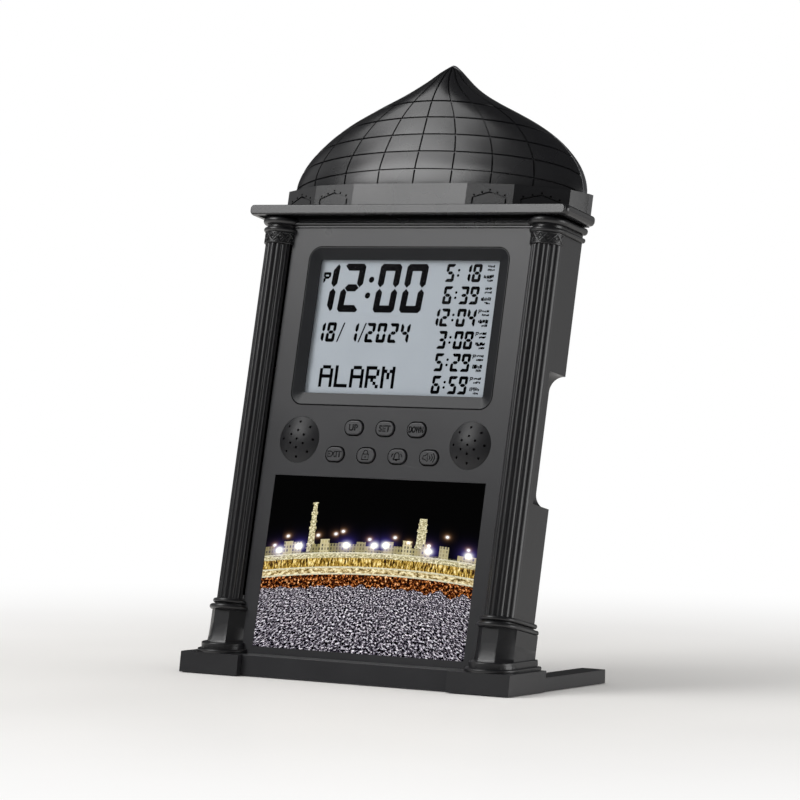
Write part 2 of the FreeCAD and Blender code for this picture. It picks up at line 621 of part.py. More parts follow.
def pedestal():
    """Right-hand pedestal: rings, eight-sided block and level base mouldings."""
    flare_low = FLARE[0][0]
    flare_high = FLARE[-1][0]
    block = prism(octagon(PEDESTAL_HALF, flare_high), V(0, 0, PEDESTAL_TOP - flare_high))
    root = prism(octagon(PEDESTAL_HALF, 0), V(0, 0, flare_low))
    flare = Part.makeLoft([polygon(octagon(PEDESTAL_HALF + growth, z)) for z, growth in FLARE], True)
    base_ring_z = PEDESTAL_TOP + BASE_TORUS_TUBE
    neck_ring_z = base_ring_z + BASE_TORUS_TUBE + BASE_TORUS_GAP + NECK_TORUS_TUBE
    neck = u_block(COLUMN_X, COLUMN_Y, COLUMN_R, CASE_DEPTH, PEDESTAL_TOP, SHAFT_LOW)
    base_ring = u_torus(COLUMN_X, COLUMN_Y, BASE_TORUS_R, BASE_TORUS_TUBE, CASE_DEPTH, base_ring_z)
    neck_ring = u_torus(COLUMN_X, COLUMN_Y, NECK_TORUS_R, NECK_TORUS_TUBE, CASE_DEPTH, neck_ring_z)
    leaning = lean(block.fuse([flare, root, neck, base_ring, neck_ring]))
    leaning = above(leaning, SEAT_Z)
    rake = math.tan(math.radians(LEAN))
    step_y = COLUMN_Y + SEAT_Z * rake
    low_top = SEAT_Z + STEP_LOW_H
    high_top = low_top + STEP_HIGH_H
    low_step = u_block(COLUMN_X, step_y, STEP_LOW_R, STEP_BACK, SEAT_Z, low_top)
    low_step = round_edges(low_step, low_top, STEP_ROUND)
    high_step = u_block(COLUMN_X, step_y, STEP_HIGH_R, STEP_BACK, low_top, high_top)
    high_step = round_edges(high_step, high_top, STEP_ROUND)
    whole = leaning.fuse([low_step, high_step])
    case_space = lean(box(0, PANEL_HALF, 0, CUT, -PANEL_TOP, PANEL_TOP))
    whole = whole.cut(case_space)
    whole = whole.cut(box(0, PANEL_HALF, SEAT_Z * rake, CUT, 0, SEAT_Z + OVER))
    pilot = rod(SCREW_R + THREAD_FIT, V(COLUMN_X, FOOT_SCREW_Y, SEAT_Z - OVER), V(0, 0, 1), FOOT_SCREW_L)
    return whole.cut(pilot)


def round_edges(shape, z, radius):
    """Round the outer edges of a flat top at the height z, but not its back edge."""
    chosen = []
    for edge in shape.Edges:
        bounds = edge.BoundBox
        flat = abs(bounds.ZMin - z) < 1e-6 and abs(bounds.ZMax - z) < 1e-6
        runs_back = bounds.YLength > 1e-3
        if flat and runs_back:
            chosen.append(edge)
    return shape.makeFillet(radius, chosen)


# ---- feet -------------------------------------------------------------------
def foot():
    """Right-hand foot: block under the pedestal and a runner to the back."""
    low = PAD_PROUD
    profile = ((FOOT_IN, -FOOT_FRONT, low), (FOOT_IN, -FOOT_FRONT_TOP, SEAT_Z),
               (FOOT_IN, FOOT_BACK + FOOT_RAKE, SEAT_Z), (FOOT_IN, FOOT_BACK, low))
    block = prism(profile, V(FOOT_OUT - FOOT_IN, 0, 0))
    top_end = RUNNER_END - RUNNER_RAKE
    rail_profile = ((RUNNER_IN, FOOT_BACK - FOOT_WALL, low), (RUNNER_IN, RUNNER_END, low),
                    (RUNNER_IN, top_end, RUNNER_H), (RUNNER_IN, FOOT_BACK - FOOT_WALL, RUNNER_H))
    rail = prism(rail_profile, V(RUNNER_OUT - RUNNER_IN, 0, 0))
    corner_back = RUNNER_END + OVER
    corner_side = RUNNER_OUT + OVER
    corner = prism(((RUNNER_OUT - RUNNER_CORNER, corner_back, 0), (corner_side, corner_back, 0),
                    (corner_side, RUNNER_END - 2 * RUNNER_CORNER, 0)), V(0, 0, SEAT_Z))
    rail = rail.cut(corner)
    whole = block.fuse(rail).removeSplitter()
    pad_x = FOOT_IN + PAD_INSET
    hollow_in = pad_x + PAD_R + FOOT_WALL
    top_skin = SEAT_Z - FOOT_WALL
    block_hollow = box(hollow_in, FOOT_OUT - FOOT_WALL, -FOOT_FRONT + FOOT_WALL + FOOT_RAKE,
                       FOOT_BACK - FOOT_WALL, -OVER, top_skin)
    boss = rod(FOOT_BOSS_R, V(COLUMN_X, FOOT_SCREW_Y, top_skin - FOOT_BOSS_H), V(0, 0, 1), SEAT_Z)
    rail_pad_y = RUNNER_END - RUNNER_RAKE - PAD_INSET
    rail_hollow = box(RUNNER_IN + FOOT_WALL, RUNNER_OUT - FOOT_WALL, FOOT_BACK + FOOT_WALL,
                      rail_pad_y - PAD_R - FOOT_WALL, -OVER, RUNNER_H - FOOT_WALL)
    whole = whole.cut([block_hollow.cut(boss), rail_hollow])
    hole = rod(SCREW_R + FIT, V(COLUMN_X, FOOT_SCREW_Y, -OVER), V(0, 0, 1), SEAT_Z + 2 * OVER)
    seats = [rod(PAD_R + FIT, centre, V(0, 0, 1), PAD_T) for centre in pad_centres()]
    return whole.cut([hole] + seats)


def pad_centres():
    """Right-hand pads, at the level that the clock stands on."""
    front_x = FOOT_IN + PAD_INSET
    rail_x = (RUNNER_IN + RUNNER_OUT) / 2.0
    return (V(front_x, 0, 0), V(rail_x, RUNNER_END - RUNNER_RAKE - PAD_INSET, 0))


def foot_pads():
    right = [rod(PAD_R, centre, V(0, 0, 1), PAD_T) for centre in pad_centres()]
    return Part.makeCompound(right + [mirror_x(pad) for pad in right])


def plinth_strip():
    """Low strip between the feet, a front wall and a shelf under the panel."""
    front = -FOOT_FRONT + STRIP_BACK_STEP
    back = front + STRIP_DEPTH
    low = PAD_PROUD
    shelf = SEAT_Z - STRIP_WALL
    end = -FOOT_IN + SEAM
    profile = ((end, front, low), (end, front + FOOT_RAKE, SEAT_Z), (end, back, SEAT_Z),
               (end, back, shelf), (end, front + FOOT_RAKE + STRIP_WALL, shelf),
               (end, front + STRIP_WALL, low))
    strip = prism(profile, V(2 * (FOOT_IN - SEAM), 0, 0))
    for side in (-1, 1):
        strip = strip.cut(rod(SCREW_R + FIT, V(side * STRIP_SCREW_X, STRIP_SCREW_Y, 0), V(0, 0, 1),
                              SEAT_Z + OVER))
    return strip


# ---- cornice, drum and dome -------------------------------------------------
def cornice():
    slab = box(-SLAB_HALF, SLAB_HALF, -SLAB_FRONT, COVER_Y, SLAB_LOW, SLAB_TOP)
    corners = [edge for edge in slab.Edges
               if edge.BoundBox.ZLength > 1e-6 and abs(edge.BoundBox.YMax + SLAB_FRONT) < 1e-6]
    slab = slab.makeFillet(SLAB_CORNER, corners)
    rims = [edge for edge in slab.Edges
            if edge.BoundBox.ZLength < 1e-6 and abs(edge.BoundBox.YMin - COVER_Y) > 1e-6]
    slab = slab.makeFillet(SLAB_ROUND, rims)
    frieze = box(-PANEL_HALF, PANEL_HALF, -FRIEZE_FRONT, COVER_Y, PANEL_TOP, SLAB_LOW)
    bead = rod(BEAD_R, V(-PANEL_HALF, -FRIEZE_FRONT, BEAD_Z), V(1, 0, 0), 2 * PANEL_HALF)
    body = slab.fuse([frieze, bead])
    body = body.cut(box(-PANEL_INNER, PANEL_INNER, PANEL_WALL, COVER_Y + OVER, PANEL_TOP - OVER,
                        SLAB_TOP + OVER))
    ring = u_torus(COLUMN_X, COLUMN_Y, HIGH_TORUS_R + FIT, HIGH_TORUS_TUBE + FIT, CASE_DEPTH, HIGH_TORUS_Z)
    low_ring = u_torus(COLUMN_X, COLUMN_Y, LOW_TORUS_R + FIT, LOW_TORUS_TUBE + FIT, CASE_DEPTH, LOW_TORUS_Z)
    capital_front = fuse_all([ring, low_ring]).common(box(0, CUT, -CUT, 0, 0, SLAB_LOW))
    body = body.cut([capital_front, mirror_x(capital_front)])
    return lean(body)


def drum_plan(inset, back):
    """Plan of the drum with each corner moved in by the inset, nearly enough."""
    half = [(DRUM_FACE_HALF, DRUM_FACE_Y)]
    half += [(DRUM_HALF - from_side, y) for from_side, y in DRUM_TURNS]
    shrink = (DRUM_HALF - inset) / DRUM_HALF
    right = [(x * shrink, y + inset) for x, y in half]
    right.append((DRUM_HALF * shrink, back))
    left = [(-x, y) for x, y in reversed(right)]
    return right + left


def drum_prism(inset, back, low, high):
    points = [(x, y, low) for x, y in drum_plan(inset, back)]
    return prism(points, V(0, 0, high - low))


def drum_band():
    outer = drum_prism(0.0, CASE_DEPTH, SLAB_TOP, DRUM_TOP)
    inner = drum_prism(DRUM_WALL, CASE_DEPTH + OVER, SLAB_TOP - OVER, DRUM_TOP + OVER)
    band = outer.cut(inner)
    return lean(band.cut(box(-CUT, CUT, COVER_Y, CUT, 0, CUT)))


def dome_ring(up, reach, share, inset, drop, back):
    """Half ellipse that dips to the back, closed by a straight chord."""
    y = CASE_DEPTH - reach + inset
    half = DOME_HALF * share - inset
    dip = math.tan(math.radians(DOME_TILT))
    front_z = DRUM_TOP + up - drop
    points = []
    for turn in range(0, 181, RING_STEP):
        angle = math.radians(turn)
        point_y = back - (back - y) * math.sin(angle)
        points.append(V(half * math.cos(angle), point_y, front_z - (point_y - y) * dip))
    curve = Part.BSplineCurve()
    curve.interpolate(points)
    chord = Part.makeLine(points[-1], points[0])
    return Part.Wire([curve.toShape(), chord])


def dome_solid(inset, drop, back, ring_count):
    """Loft through the lowest rings, whose half widths are shares of the dome's."""
    rings = []
    for (up, reach), share in list(zip(DOME_RINGS, DOME_SHARES))[:ring_count]:
        rings.append(dome_ring(up, reach, share, inset, drop, back))
    return Part.makeLoft(rings, True, False)


def dome_shell():
    outer = dome_solid(0.0, 0.0, CASE_DEPTH, len(DOME_RINGS))
    inner = dome_solid(DOME_WALL, DOME_DROP, CASE_DEPTH + OVER, len(DOME_RINGS) - DOME_FILL_RINGS)
    shell = outer.cut(inner)
    trim_back = box(-CUT, CUT, COVER_Y, CUT, 0, CUT)
    trim_low = box(-CUT, CUT, -CUT, CUT, 0, DRUM_TOP)
    shell = shell.cut([trim_back, trim_low])
    posts = [rod_y(COVER_POST_R, x, z, -CASE_DEPTH, POST_END_Y).common(outer) for x, z in DOME_POSTS]
    shell = shell.fuse(posts)
    pilots = [rod_y(SCREW_R + THREAD_FIT, x, z, POST_END_Y - COVER_SCREW_L, POST_END_Y + OVER)
              for x, z in DOME_POSTS]
    return lean(shell.cut(pilots))


# ---- back cover and battery door --------------------------------------------
def back_cover():
    plate = box(-PANEL_HALF + SEAM, PANEL_HALF - SEAM, COVER_Y, CASE_DEPTH, -SLAB_LOW, SLAB_LOW)
    plate = above(lean(plate), SEAT_Z + SEAM)
    crown = drum_prism(0.0, CASE_DEPTH, SLAB_LOW, DRUM_TOP)
    dome = dome_solid(0.0, 0.0, CASE_DEPTH, len(DOME_RINGS))
    dome = dome.cut(box(-CUT, CUT, -CUT, CUT, 0, DRUM_TOP))
    back_slice = box(-CUT, CUT, COVER_Y, CASE_DEPTH, 0, CUT)
    upper = lean(crown.fuse(dome).common(back_slice))
    ring = u_torus(COLUMN_X, COLUMN_Y, HIGH_TORUS_R + FIT, HIGH_TORUS_TUBE + FIT, CASE_DEPTH + OVER,
                   HIGH_TORUS_Z)
    ring_spaces = [lean(ring), lean(mirror_x(ring))]
    low = BAY_MID_Z - BAY_HALF_H
    high = BAY_MID_Z + BAY_HALF_H
    bay = box(-BAY_HALF - BAY_WALL, BAY_HALF + BAY_WALL, BAY_FLOOR_Y - BAY_FLOOR_T, COVER_Y,
              low - BAY_WALL, high + BAY_WALL)
    hump = rounded_plate(BAY_HALF + HUMP_WALL, low - HUMP_WALL, high + HUMP_WALL, HUMP_R,
                         CASE_DEPTH, HUMP_TOP)
    wells = [rod_y(WELL_R, x, z, POST_END_Y, CASE_DEPTH) for x, z in COVER_POSTS + DOME_POSTS]
    cover = plate.fuse([upper] + [lean(piece) for piece in [bay, hump] + wells])
    cuts = [box(-BAY_HALF, BAY_HALF, BAY_FLOOR_Y, HUMP_TOP + OVER, low, high)]
    for x, z in COVER_POSTS + DOME_POSTS:
        cuts.append(rod_y(SCREW_R + FIT, x, z, POST_END_Y - OVER, CASE_DEPTH + OVER))
        cuts.append(rod_y(SCREW_HEAD_R + FIT, x, z, CASE_DEPTH - WELL_DEEP, CASE_DEPTH + OVER))
    return cover.cut([lean(cut) for cut in cuts] + ring_spaces)


def battery_door():
    low = BAY_MID_Z - BAY_HALF_H
    high = BAY_MID_Z + BAY_HALF_H
    plate = rounded_plate(BAY_HALF + HUMP_WALL, low - HUMP_WALL, high + HUMP_WALL, HUMP_R,
                          DOOR_Y, DOOR_Y + DOOR_T)
    ribs = []
    for side in (-1, 1):
        centre = BAY_MID_Z + side * (BAY_HALF_H - RIB_GAP - RIB_T / 2)
        ribs.append(box(-BAY_HALF + RIB_INSET, BAY_HALF - DOOR_TRAVEL - RIB_INSET, DOOR_Y - RIB_DEEP, DOOR_Y,
                        centre - RIB_T / 2, centre + RIB_T / 2))
    door = plate.fuse(ribs)
    top = DOOR_Y + DOOR_T
    grooves = []
    for index in range(GRIP_COUNT):
        x = BAY_HALF - GRIP_INSET + index * GRIP_PITCH
        grooves.append(box(x, x + GRIP_W, top - GRIP_DEEP, top + OVER, BAY_MID_Z - GRIP_HALF,
                           BAY_MID_Z + GRIP_HALF))
    return lean(door.cut(grooves))


def cell_sides():
    """Each cell's height and the side that its nub points to."""
    return ((BAY_MID_Z - CELL_PITCH / 2, 1), (BAY_MID_Z + CELL_PITCH / 2, -1))


def battery_cells():
    cells = []
    for z, side in cell_sides():
        nub_end = side * (BAY_HALF - CONTACT_T - FIT)
        shoulder = nub_end - side * CELL_NUB_L
        can = rod(CELL_R, V(shoulder, CELL_Y, z), V(-side, 0, 0), CELL_L)
        nub = rod(CELL_NUB_R, V(nub_end, CELL_Y, z), V(-side, 0, 0), CELL_NUB_L + OVER)
        cells.append(lean(can.fuse(nub).removeSplitter()))
    return Part.makeCompound(cells)


def battery_springs():
    """Close-wound cone springs at the flat end of each cell."""
    springs = []
    for z, side in cell_sides():
        cell_end = side * (BAY_HALF - CONTACT_T - FIT - CELL_NUB_L - CELL_L)
        plate_face = -side * (BAY_HALF - CONTACT_T)
        length = abs(cell_end - plate_face) - FIT
        pitch = length / SPRING_COILS
        taper = (SPRING_WIDE_R - SPRING_NARROW_R) / SPRING_COILS
        edges = []
        for coil in range(SPRING_COILS):
            first = V(plate_face + side * coil * pitch, SPRING_WIDE_R - coil * taper, 0)
            last = V(first.x + side * pitch, first.y - taper, 0)
            crest = V((first.x + last.x) / 2, (first.y + last.y) / 2 + pitch / 2, 0)
            edges.append(Part.Arc(first, crest, last).toShape())
        bore = SPRING_NARROW_R - SPRING_WIRE
        end = V(plate_face + side * length, SPRING_NARROW_R, 0)
        edges.append(Part.makeLine(end, V(end.x, bore, 0)))
        edges.append(Part.makeLine(V(end.x, bore, 0), V(plate_face, bore, 0)))
        edges.append(Part.makeLine(V(plate_face, bore, 0), V(plate_face, SPRING_WIDE_R, 0)))
        solid = Part.Face(Part.Wire(edges)).revolve(V(0, 0, 0), V(1, 0, 0), 360)
        solid.translate(V(0, CELL_Y, z))
        springs.append(lean(solid))
    return Part.makeCompound(springs)


def battery_contacts():
    """Plates in the ends of the bay: a long one that joins the cells, and two short ones."""
    low = BAY_MID_Z - BAY_HALF_H + FIT
    high = BAY_MID_Z + BAY_HALF_H - FIT
    front = BAY_FLOOR_Y + FIT
    back = CELL_Y + CELL_R - CONTACT_INSET
    long_plate = box(-BAY_HALF, -BAY_HALF + CONTACT_T, front, back, low, high)
    plates = [long_plate]
    for z, side in cell_sides():
        plates.append(box(BAY_HALF - CONTACT_T, BAY_HALF, front, back,
                          z - CELL_R + CONTACT_INSET, z + CELL_R - CONTACT_INSET))
    return Part.makeCompound([lean(plate) for plate in plates])


# ---- display ----------------------------------------------------------------
def lcd_bezel():
    outer = rounded_plate(BEZEL_HALF, BEZEL_LOW, BEZEL_HIGH, BEZEL_R, 0, PANEL_WALL + BEZEL_FLANGE_T)
    flange = rounded_plate(BEZEL_HALF + BEZEL_FLANGE, BEZEL_LOW - BEZEL_FLANGE, BEZEL_HIGH + BEZEL_FLANGE,
                           BEZEL_R, PANEL_WALL, PANEL_WALL + BEZEL_FLANGE_T)
    slope = Part.makeLoft([rounded_rect(BEZEL_HALF - BEZEL_RIM, BEZEL_LOW + BEZEL_RIM, BEZEL_HIGH - BEZEL_RIM,
                                        BEZEL_R - BEZEL_RIM, 0),
                           rounded_rect(LCD_HALF, LCD_LOW, LCD_HIGH, LCD_CORNER_R, BEZEL_SINK)], True, True)
    opening = rounded_plate(LCD_HALF, LCD_LOW, LCD_HIGH, LCD_CORNER_R, BEZEL_SINK, CUT)
    pocket = box(-GLASS_HALF - FIT, GLASS_HALF + FIT, WINDOW_Y, CUT, GLASS_LOW - FIT, GLASS_HIGH + FIT)
    return lean(outer.fuse(flange).cut([slope, opening, pocket]))


def lcd_window():
    return lean(box(-GLASS_HALF, GLASS_HALF, WINDOW_Y, GLASS_Y, GLASS_LOW, GLASS_HIGH))


def lcd_glass():
    return lean(box(-GLASS_HALF, GLASS_HALF, GLASS_Y, GUIDE_Y, GLASS_LOW, GLASS_HIGH))


def light_guide():
    return lean(box(-GLASS_HALF, GLASS_HALF, GUIDE_Y, BOARD_Y, GLASS_LOW + GUIDE_INSET,
                    GLASS_HIGH - GUIDE_INSET))


def contact_strips():
    """Elastomer strips that carry the signals from the board to the glass."""
    half = GLASS_HALF - WINDOW_BORDER
    strips = []
    for low in (GLASS_LOW + FIT, GLASS_HIGH - FIT - STRIP_CONTACT_H):
        strips.append(lean(box(-half, half, GUIDE_Y, BOARD_Y, low, low + STRIP_CONTACT_H)))
    return Part.makeCompound(strips)


# ---- keys -------------------------------------------------------------------
def key(column, z):
    """Key cap that stands through the panel, with a flange behind it."""
    x = column * KEY_PITCH
    cap = key_block(0.0, x, z, -KEY_PROUD, KEY_BACK_Y)
    face_edges = [edge for edge in cap.Edges if edge.BoundBox.YMax < -KEY_PROUD + 1e-6]
    cap = cap.makeFillet(KEY_ROUND, face_edges)
    flange = key_block(KEY_FLANGE, x, z, KEY_BACK_Y - KEY_FLANGE_T, KEY_BACK_Y)
    return lean(cap.fuse(flange).removeSplitter())


def keypad_mat():
    """Silicone sheet on the board with a small dome behind each key."""
    sheet = box(-MAT_HALF, MAT_HALF, MAT_Y, BOARD_Y, KEY_ROW_LOW - MAT_MARGIN, KEY_ROW_TOP + MAT_MARGIN)
    dome_y = KEY_BACK_Y + KEY_TRAVEL + FIT / 2
    domes = []
    for name, column, z in KEYS:
        domes.append(Part.makeCone(MAT_DOME_TIP_R, MAT_DOME_FOOT_R, MAT_Y - dome_y,
                                   V(column * KEY_PITCH, dome_y, z), V(0, 1, 0)))
    return lean(sheet.fuse(domes).removeSplitter())


# ---- speakers ---------------------------------------------------------------
def cap_solid(radius, rise, face_y, depth):
    """Shallow dome on a short cylinder; the dome's foot is at face_y."""
    sphere_r = (radius ** 2 + rise ** 2) / (2 * rise)
    ball = Part.makeSphere(sphere_r, V(0, face_y - rise + sphere_r, 0))
    core = rod_y(radius, 0, 0, face_y - rise - OVER, face_y + depth)
    keep_front = box(-CUT, CUT, -CUT, face_y, -CUT, CUT)
    dome = ball.common(core).common(keep_front)
    return dome.fuse(rod_y(radius, 0, 0, face_y, face_y + depth)).removeSplitter()


def speaker_grille():
    outer = cap_solid(GRILLE_R, GRILLE_RISE, 0.0, PANEL_WALL)
    flange = rod_y(GRILLE_R + GRILLE_FLANGE, 0, 0, PANEL_WALL, PANEL_WALL + GRILLE_FLANGE_T)
    inner = cap_solid(GRILLE_R - GRILLE_T, GRILLE_INNER_RISE, GRILLE_T, PANEL_WALL + GRILLE_FLANGE_T)
    grille = outer.fuse(flange).cut(inner)
    holes = [rod_y(GRILLE_HOLE_R, 0, 0, -GRILLE_RISE - OVER, PANEL_WALL)]
    for ring_r, count in GRILLE_RINGS:
        for index in range(count):
            angle = 2 * math.pi * index / count + math.pi / 2
            holes.append(rod_y(GRILLE_HOLE_R, ring_r * math.cos(angle), ring_r * math.sin(angle),
                               -GRILLE_RISE - OVER, PANEL_WALL))
    return grille.cut(holes)


def speaker_frame():
    front = PANEL_WALL + GRILLE_FLANGE_T
    rim = rod_y(SPEAKER_R, 0, 0, front, front + SPEAKER_RIM_T)
    basket_y = front + SPEAKER_RIM_T
    basket = Part.makeCone(BASKET_FRONT_R, BASKET_BACK_R, BASKET_DEPTH - SPEAKER_RIM_T,
                           V(0, basket_y, 0), V(0, 1, 0))
    space = Part.makeCone(MOUTH_R, BASKET_BACK_R - BASKET_WALL, BASKET_DEPTH - BASKET_WALL,
                          V(0, front, 0), V(0, 1, 0))
    frame = rim.fuse(basket).cut(space)
    return frame.removeSplitter()


def speaker_cone():
    """Paper cone with a dust cap, inside the frame."""
    front = PANEL_WALL + GRILLE_FLANGE_T + CONE_SINK
    depth = BASKET_DEPTH - BASKET_WALL - CONE_SINK
    back_r = BASKET_BACK_R - BASKET_WALL - CONE_GAP
    outer = Part.makeCone(CONE_R, back_r, depth, V(0, front, 0), V(0, 1, 0))
    inner = Part.makeCone(CONE_R - CONE_PAPER, DUST_CAP_R - CONE_PAPER, depth - CONE_PAPER,
                          V(0, front, 0), V(0, 1, 0))
    dust_cap = rod_y(DUST_CAP_R, 0, 0, front + depth - DUST_CAP_H, front + depth)
    return outer.cut(inner).fuse(dust_cap).removeSplitter()


def speaker_magnet():
    back = PANEL_WALL + GRILLE_FLANGE_T + BASKET_DEPTH
    return rod_y(MAGNET_R, 0, 0, back, back + MAGNET_T)


def place_speaker(shape, side):
    placed = shape.copy()
    placed.translate(V(side * SPEAKER_X, 0, SPEAKER_Z))
    return lean(placed)


# ---- circuit board ----------------------------------------------------------
def main_board():
    upper = box(-BOARD_HALF, BOARD_HALF, BOARD_Y, BOARD_BACK, BOARD_STEP, BOARD_TOP)
    neck = box(-BOARD_NECK_HALF, BOARD_NECK_HALF, BOARD_Y, BOARD_BACK, BOARD_LOW, BOARD_STEP)
    board = upper.fuse(neck).removeSplitter()
    cuts = [rod_y(BOARD_SCREW_R + FIT, x, z, BOARD_Y - OVER, BOARD_BACK + OVER) for x, z in BOARD_POSTS]
    notch_x = PANEL_INNER - SCREW_HEAD_T - BOARD_CLEAR
    notch_half = SCREW_HEAD_R + BOARD_CLEAR
    for z in COLUMN_SCREW_ZS:
        notch = box(notch_x, PANEL_HALF, BOARD_Y - OVER, BOARD_BACK + OVER, z - notch_half, z + notch_half)
        cuts += [notch, mirror_x(notch)]
    return lean(board.cut(cuts))


def board_components():
    """Chip, amplifier, crystal, connector and capacitors on the back of the board."""
    parts = []
    for x, z, width, height, thickness in (CHIP, AMPLIFIER, CRYSTAL, CONNECTOR):
        parts.append(box(x - width / 2, x + width / 2, BOARD_BACK, BOARD_BACK + thickness,
                         z - height / 2, z + height / 2))
    for x, z in LARGE_CAN_SPOTS:
        parts.append(rod_y(LARGE_CAN[0], x, z, BOARD_BACK, BOARD_BACK + LARGE_CAN[1]))
    parts.append(rod_y(SMALL_CAN[0], SMALL_CAN_SPOT[0], SMALL_CAN_SPOT[1], BOARD_BACK,
                       BOARD_BACK + SMALL_CAN[1]))
    return Part.makeCompound([lean(part) for part in parts])


def wire_tube(points):
    """Insulated wire behind the board: straight runs joined by tangent arcs."""
    corners = [V(x, LEAD_Y, z) for x, z in points]
    edges = []
    start = corners[0]
    for before, corner, after in zip(corners, corners[1:], corners[2:]):
        towards = (before - corner).normalize()
        onward = (after - corner).normalize()
        shorter = min(before.distanceToPoint(corner), after.distanceToPoint(corner))
        tangent = 0.45 * shorter
        half_angle = towards.getAngle(onward) / 2.0
        radius = tangent * math.tan(half_angle)
        bisector = (towards + onward).normalize()
        middle = corner + bisector * (radius / math.sin(half_angle) - radius)
        first = corner + towards * tangent
        last = corner + onward * tangent
        edges.append(Part.makeLine(start, first))
        edges.append(Part.Arc(first, middle, last).toShape())
        start = last
    edges.append(Part.makeLine(start, corners[-1]))
    heading = corners[1] - corners[0]
    section = Part.Wire([Part.makeCircle(LEAD_R, corners[0], heading)])
    tube = Part.Wire(edges).makePipeShell([section], True, True)
    return lean(tube)


def battery_leads():
    """Two wires from the battery bay up to the board."""
    bay_top = BAY_MID_Z + BAY_HALF_H + BAY_WALL
    board_end = BOARD_LOW + LEAD_ON_BOARD
    third = (board_end - bay_top) / 3.0
    wires = []
    for x in (BATTERY_LEAD_X, BATTERY_LEAD_X - LEAD_SPACE):
        wires.append(wire_tube(((x, bay_top), (x, bay_top + third), (x - LEAD_JOG, board_end - third),
                                (x - LEAD_JOG, board_end))))
    return Part.makeCompound(wires)


def speaker_leads():
    """Two wires from the board to each speaker."""
    inner = BOARD_NECK_HALF - LEAD_ON_BOARD
    magnet_side = SPEAKER_X - MAGNET_R
    third = (magnet_side - inner) / 3.0
    wires = []
    for sign in (-1, 1):
        board_z = SPEAKER_Z + sign * LEAD_SPACE
        magnet_z = SPEAKER_Z + sign * LEAD_SPACE / 4.0
        wires.append(wire_tube(((inner, board_z), (inner + third, board_z), (magnet_side - third, magnet_z),
                                (magnet_side, magnet_z))))
    return Part.makeCompound(wires + [mirror_x(wire) for wire in wires])


# ---- fasteners --------------------------------------------------------------
def screw(start, direction, head_r, head_t, shaft_r, length):
    """Round-headed screw; start is under the head, direction points to the tip."""
    head = rod(head_r, start - direction * head_t, direction, head_t)
    slot = box(-head_r, head_r, -SLOT_HALF, SLOT_HALF, -SLOT_DEEP, SLOT_DEEP)
    shaft = rod(shaft_r, start, direction, length)
    body = head.fuse(shaft).removeSplitter()
    cross = []
    for turn in (0, 90):
        blade = slot.copy()
        blade.rotate(V(0, 0, 0), V(0, 0, 1), turn)
        blade.Placement = FreeCAD.Placement(start - direction * head_t,
                                            FreeCAD.Rotation(V(0, 0, 1), direction)).multiply(blade.Placement)
        cross.append(blade)
    return body.cut(cross)


def case_screws():
    screws = []
    for x, z in COVER_POSTS + DOME_POSTS:
        under_head = V(x, CASE_DEPTH - WELL_DEEP, z)
        screws.append(lean(screw(under_head, V(0, -1, 0), SCREW_HEAD_R, SCREW_HEAD_T, SCREW_R, COVER_SCREW_L)))
    return Part.makeCompound(screws)


def board_screws():
    screws = []
    for x, z in BOARD_POSTS:
        screws.append(lean(screw(V(x, BOARD_BACK, z), V(0, -1, 0), BOARD_SCREW_HEAD_R, BOARD_SCREW_HEAD_T,
                                 BOARD_SCREW_R, BOARD_SCREW_L)))
    return Part.makeCompound(screws)


def column_screws():
    screws = []
    for side in (-1, 1):
        for z in COLUMN_SCREW_ZS:
            start = V(side * PANEL_INNER, COLUMN_SCREW_Y, z)
            screws.append(lean(screw(start, V(side, 0, 0), SCREW_HEAD_R, SCREW_HEAD_T, SCREW_R,
                                     COLUMN_SCREW_L)))
    return Part.makeCompound(screws)


def foot_screws():
    boss_low = SEAT_Z - FOOT_WALL - FOOT_BOSS_H
    shelf_low = SEAT_Z - STRIP_WALL
    screws = []
    for side in (-1, 1):
        screws.append(screw(V(side * COLUMN_X, FOOT_SCREW_Y, boss_low), V(0, 0, 1), SCREW_HEAD_R,
                            SCREW_HEAD_T, SCREW_R, FOOT_SCREW_L))
        screws.append(screw(V(side * STRIP_SCREW_X, STRIP_SCREW_Y, shelf_low), V(0, 0, 1), SCREW_HEAD_R,
                            SCREW_HEAD_T, SCREW_R, STRIP_SCREW_L))
    return Part.makeCompound(screws)


def main():
    os.makedirs("parts", exist_ok=True)
    pieces = {
        "front_panel": front_panel(),
        "picture_card": picture_card(),
        "cornice": cornice(),
        "drum_band": drum_band(),
        "dome_shell": dome_shell(),
        "back_cover": back_cover(),
        "battery_door": battery_door(),
        "battery_cells": battery_cells(),
        "battery_springs": battery_springs(),
        "battery_contacts": battery_contacts(),
        "plinth_strip": plinth_strip(),
        "foot_pads": foot_pads(),
        "lcd_bezel": lcd_bezel(),
        "lcd_window": lcd_window(),
        "lcd_glass": lcd_glass(),
        "light_guide": light_guide(),
        "contact_strips": contact_strips(),
        "keypad_mat": keypad_mat(),
        "main_board": main_board(),
        "board_components": board_components(),
        "battery_leads": battery_leads(),
        "speaker_leads": speaker_leads(),
        "case_screws": case_screws(),
        "board_screws": board_screws(),
        "column_screws": column_screws(),
        "foot_screws": foot_screws(),
    }
    for name, column_index, z in KEYS:
        pieces[name] = key(column_index, z)
    for name, make in (("column", column), ("pedestal", pedestal), ("foot", foot)):
        right = make()
        pieces["right_" + name] = right
        pieces["left_" + name] = mirror_x(right)
    for name, make in (("grille", speaker_grille), ("frame", speaker_frame), ("cone", speaker_cone),
                       ("magnet", speaker_magnet)):
        for side, side_name in ((-1, "left"), (1, "right")):
            pieces[side_name + "_speaker_" + name] = place_speaker(make(), side)
    for name, shape in pieces.items():
        export(name, shape)
        solids = shape.Solids
        print(name, "solids", len(solids), "valid", shape.isValid(), "volume", round(shape.Volume, 1))


if __name__ == "__main__":
    main()
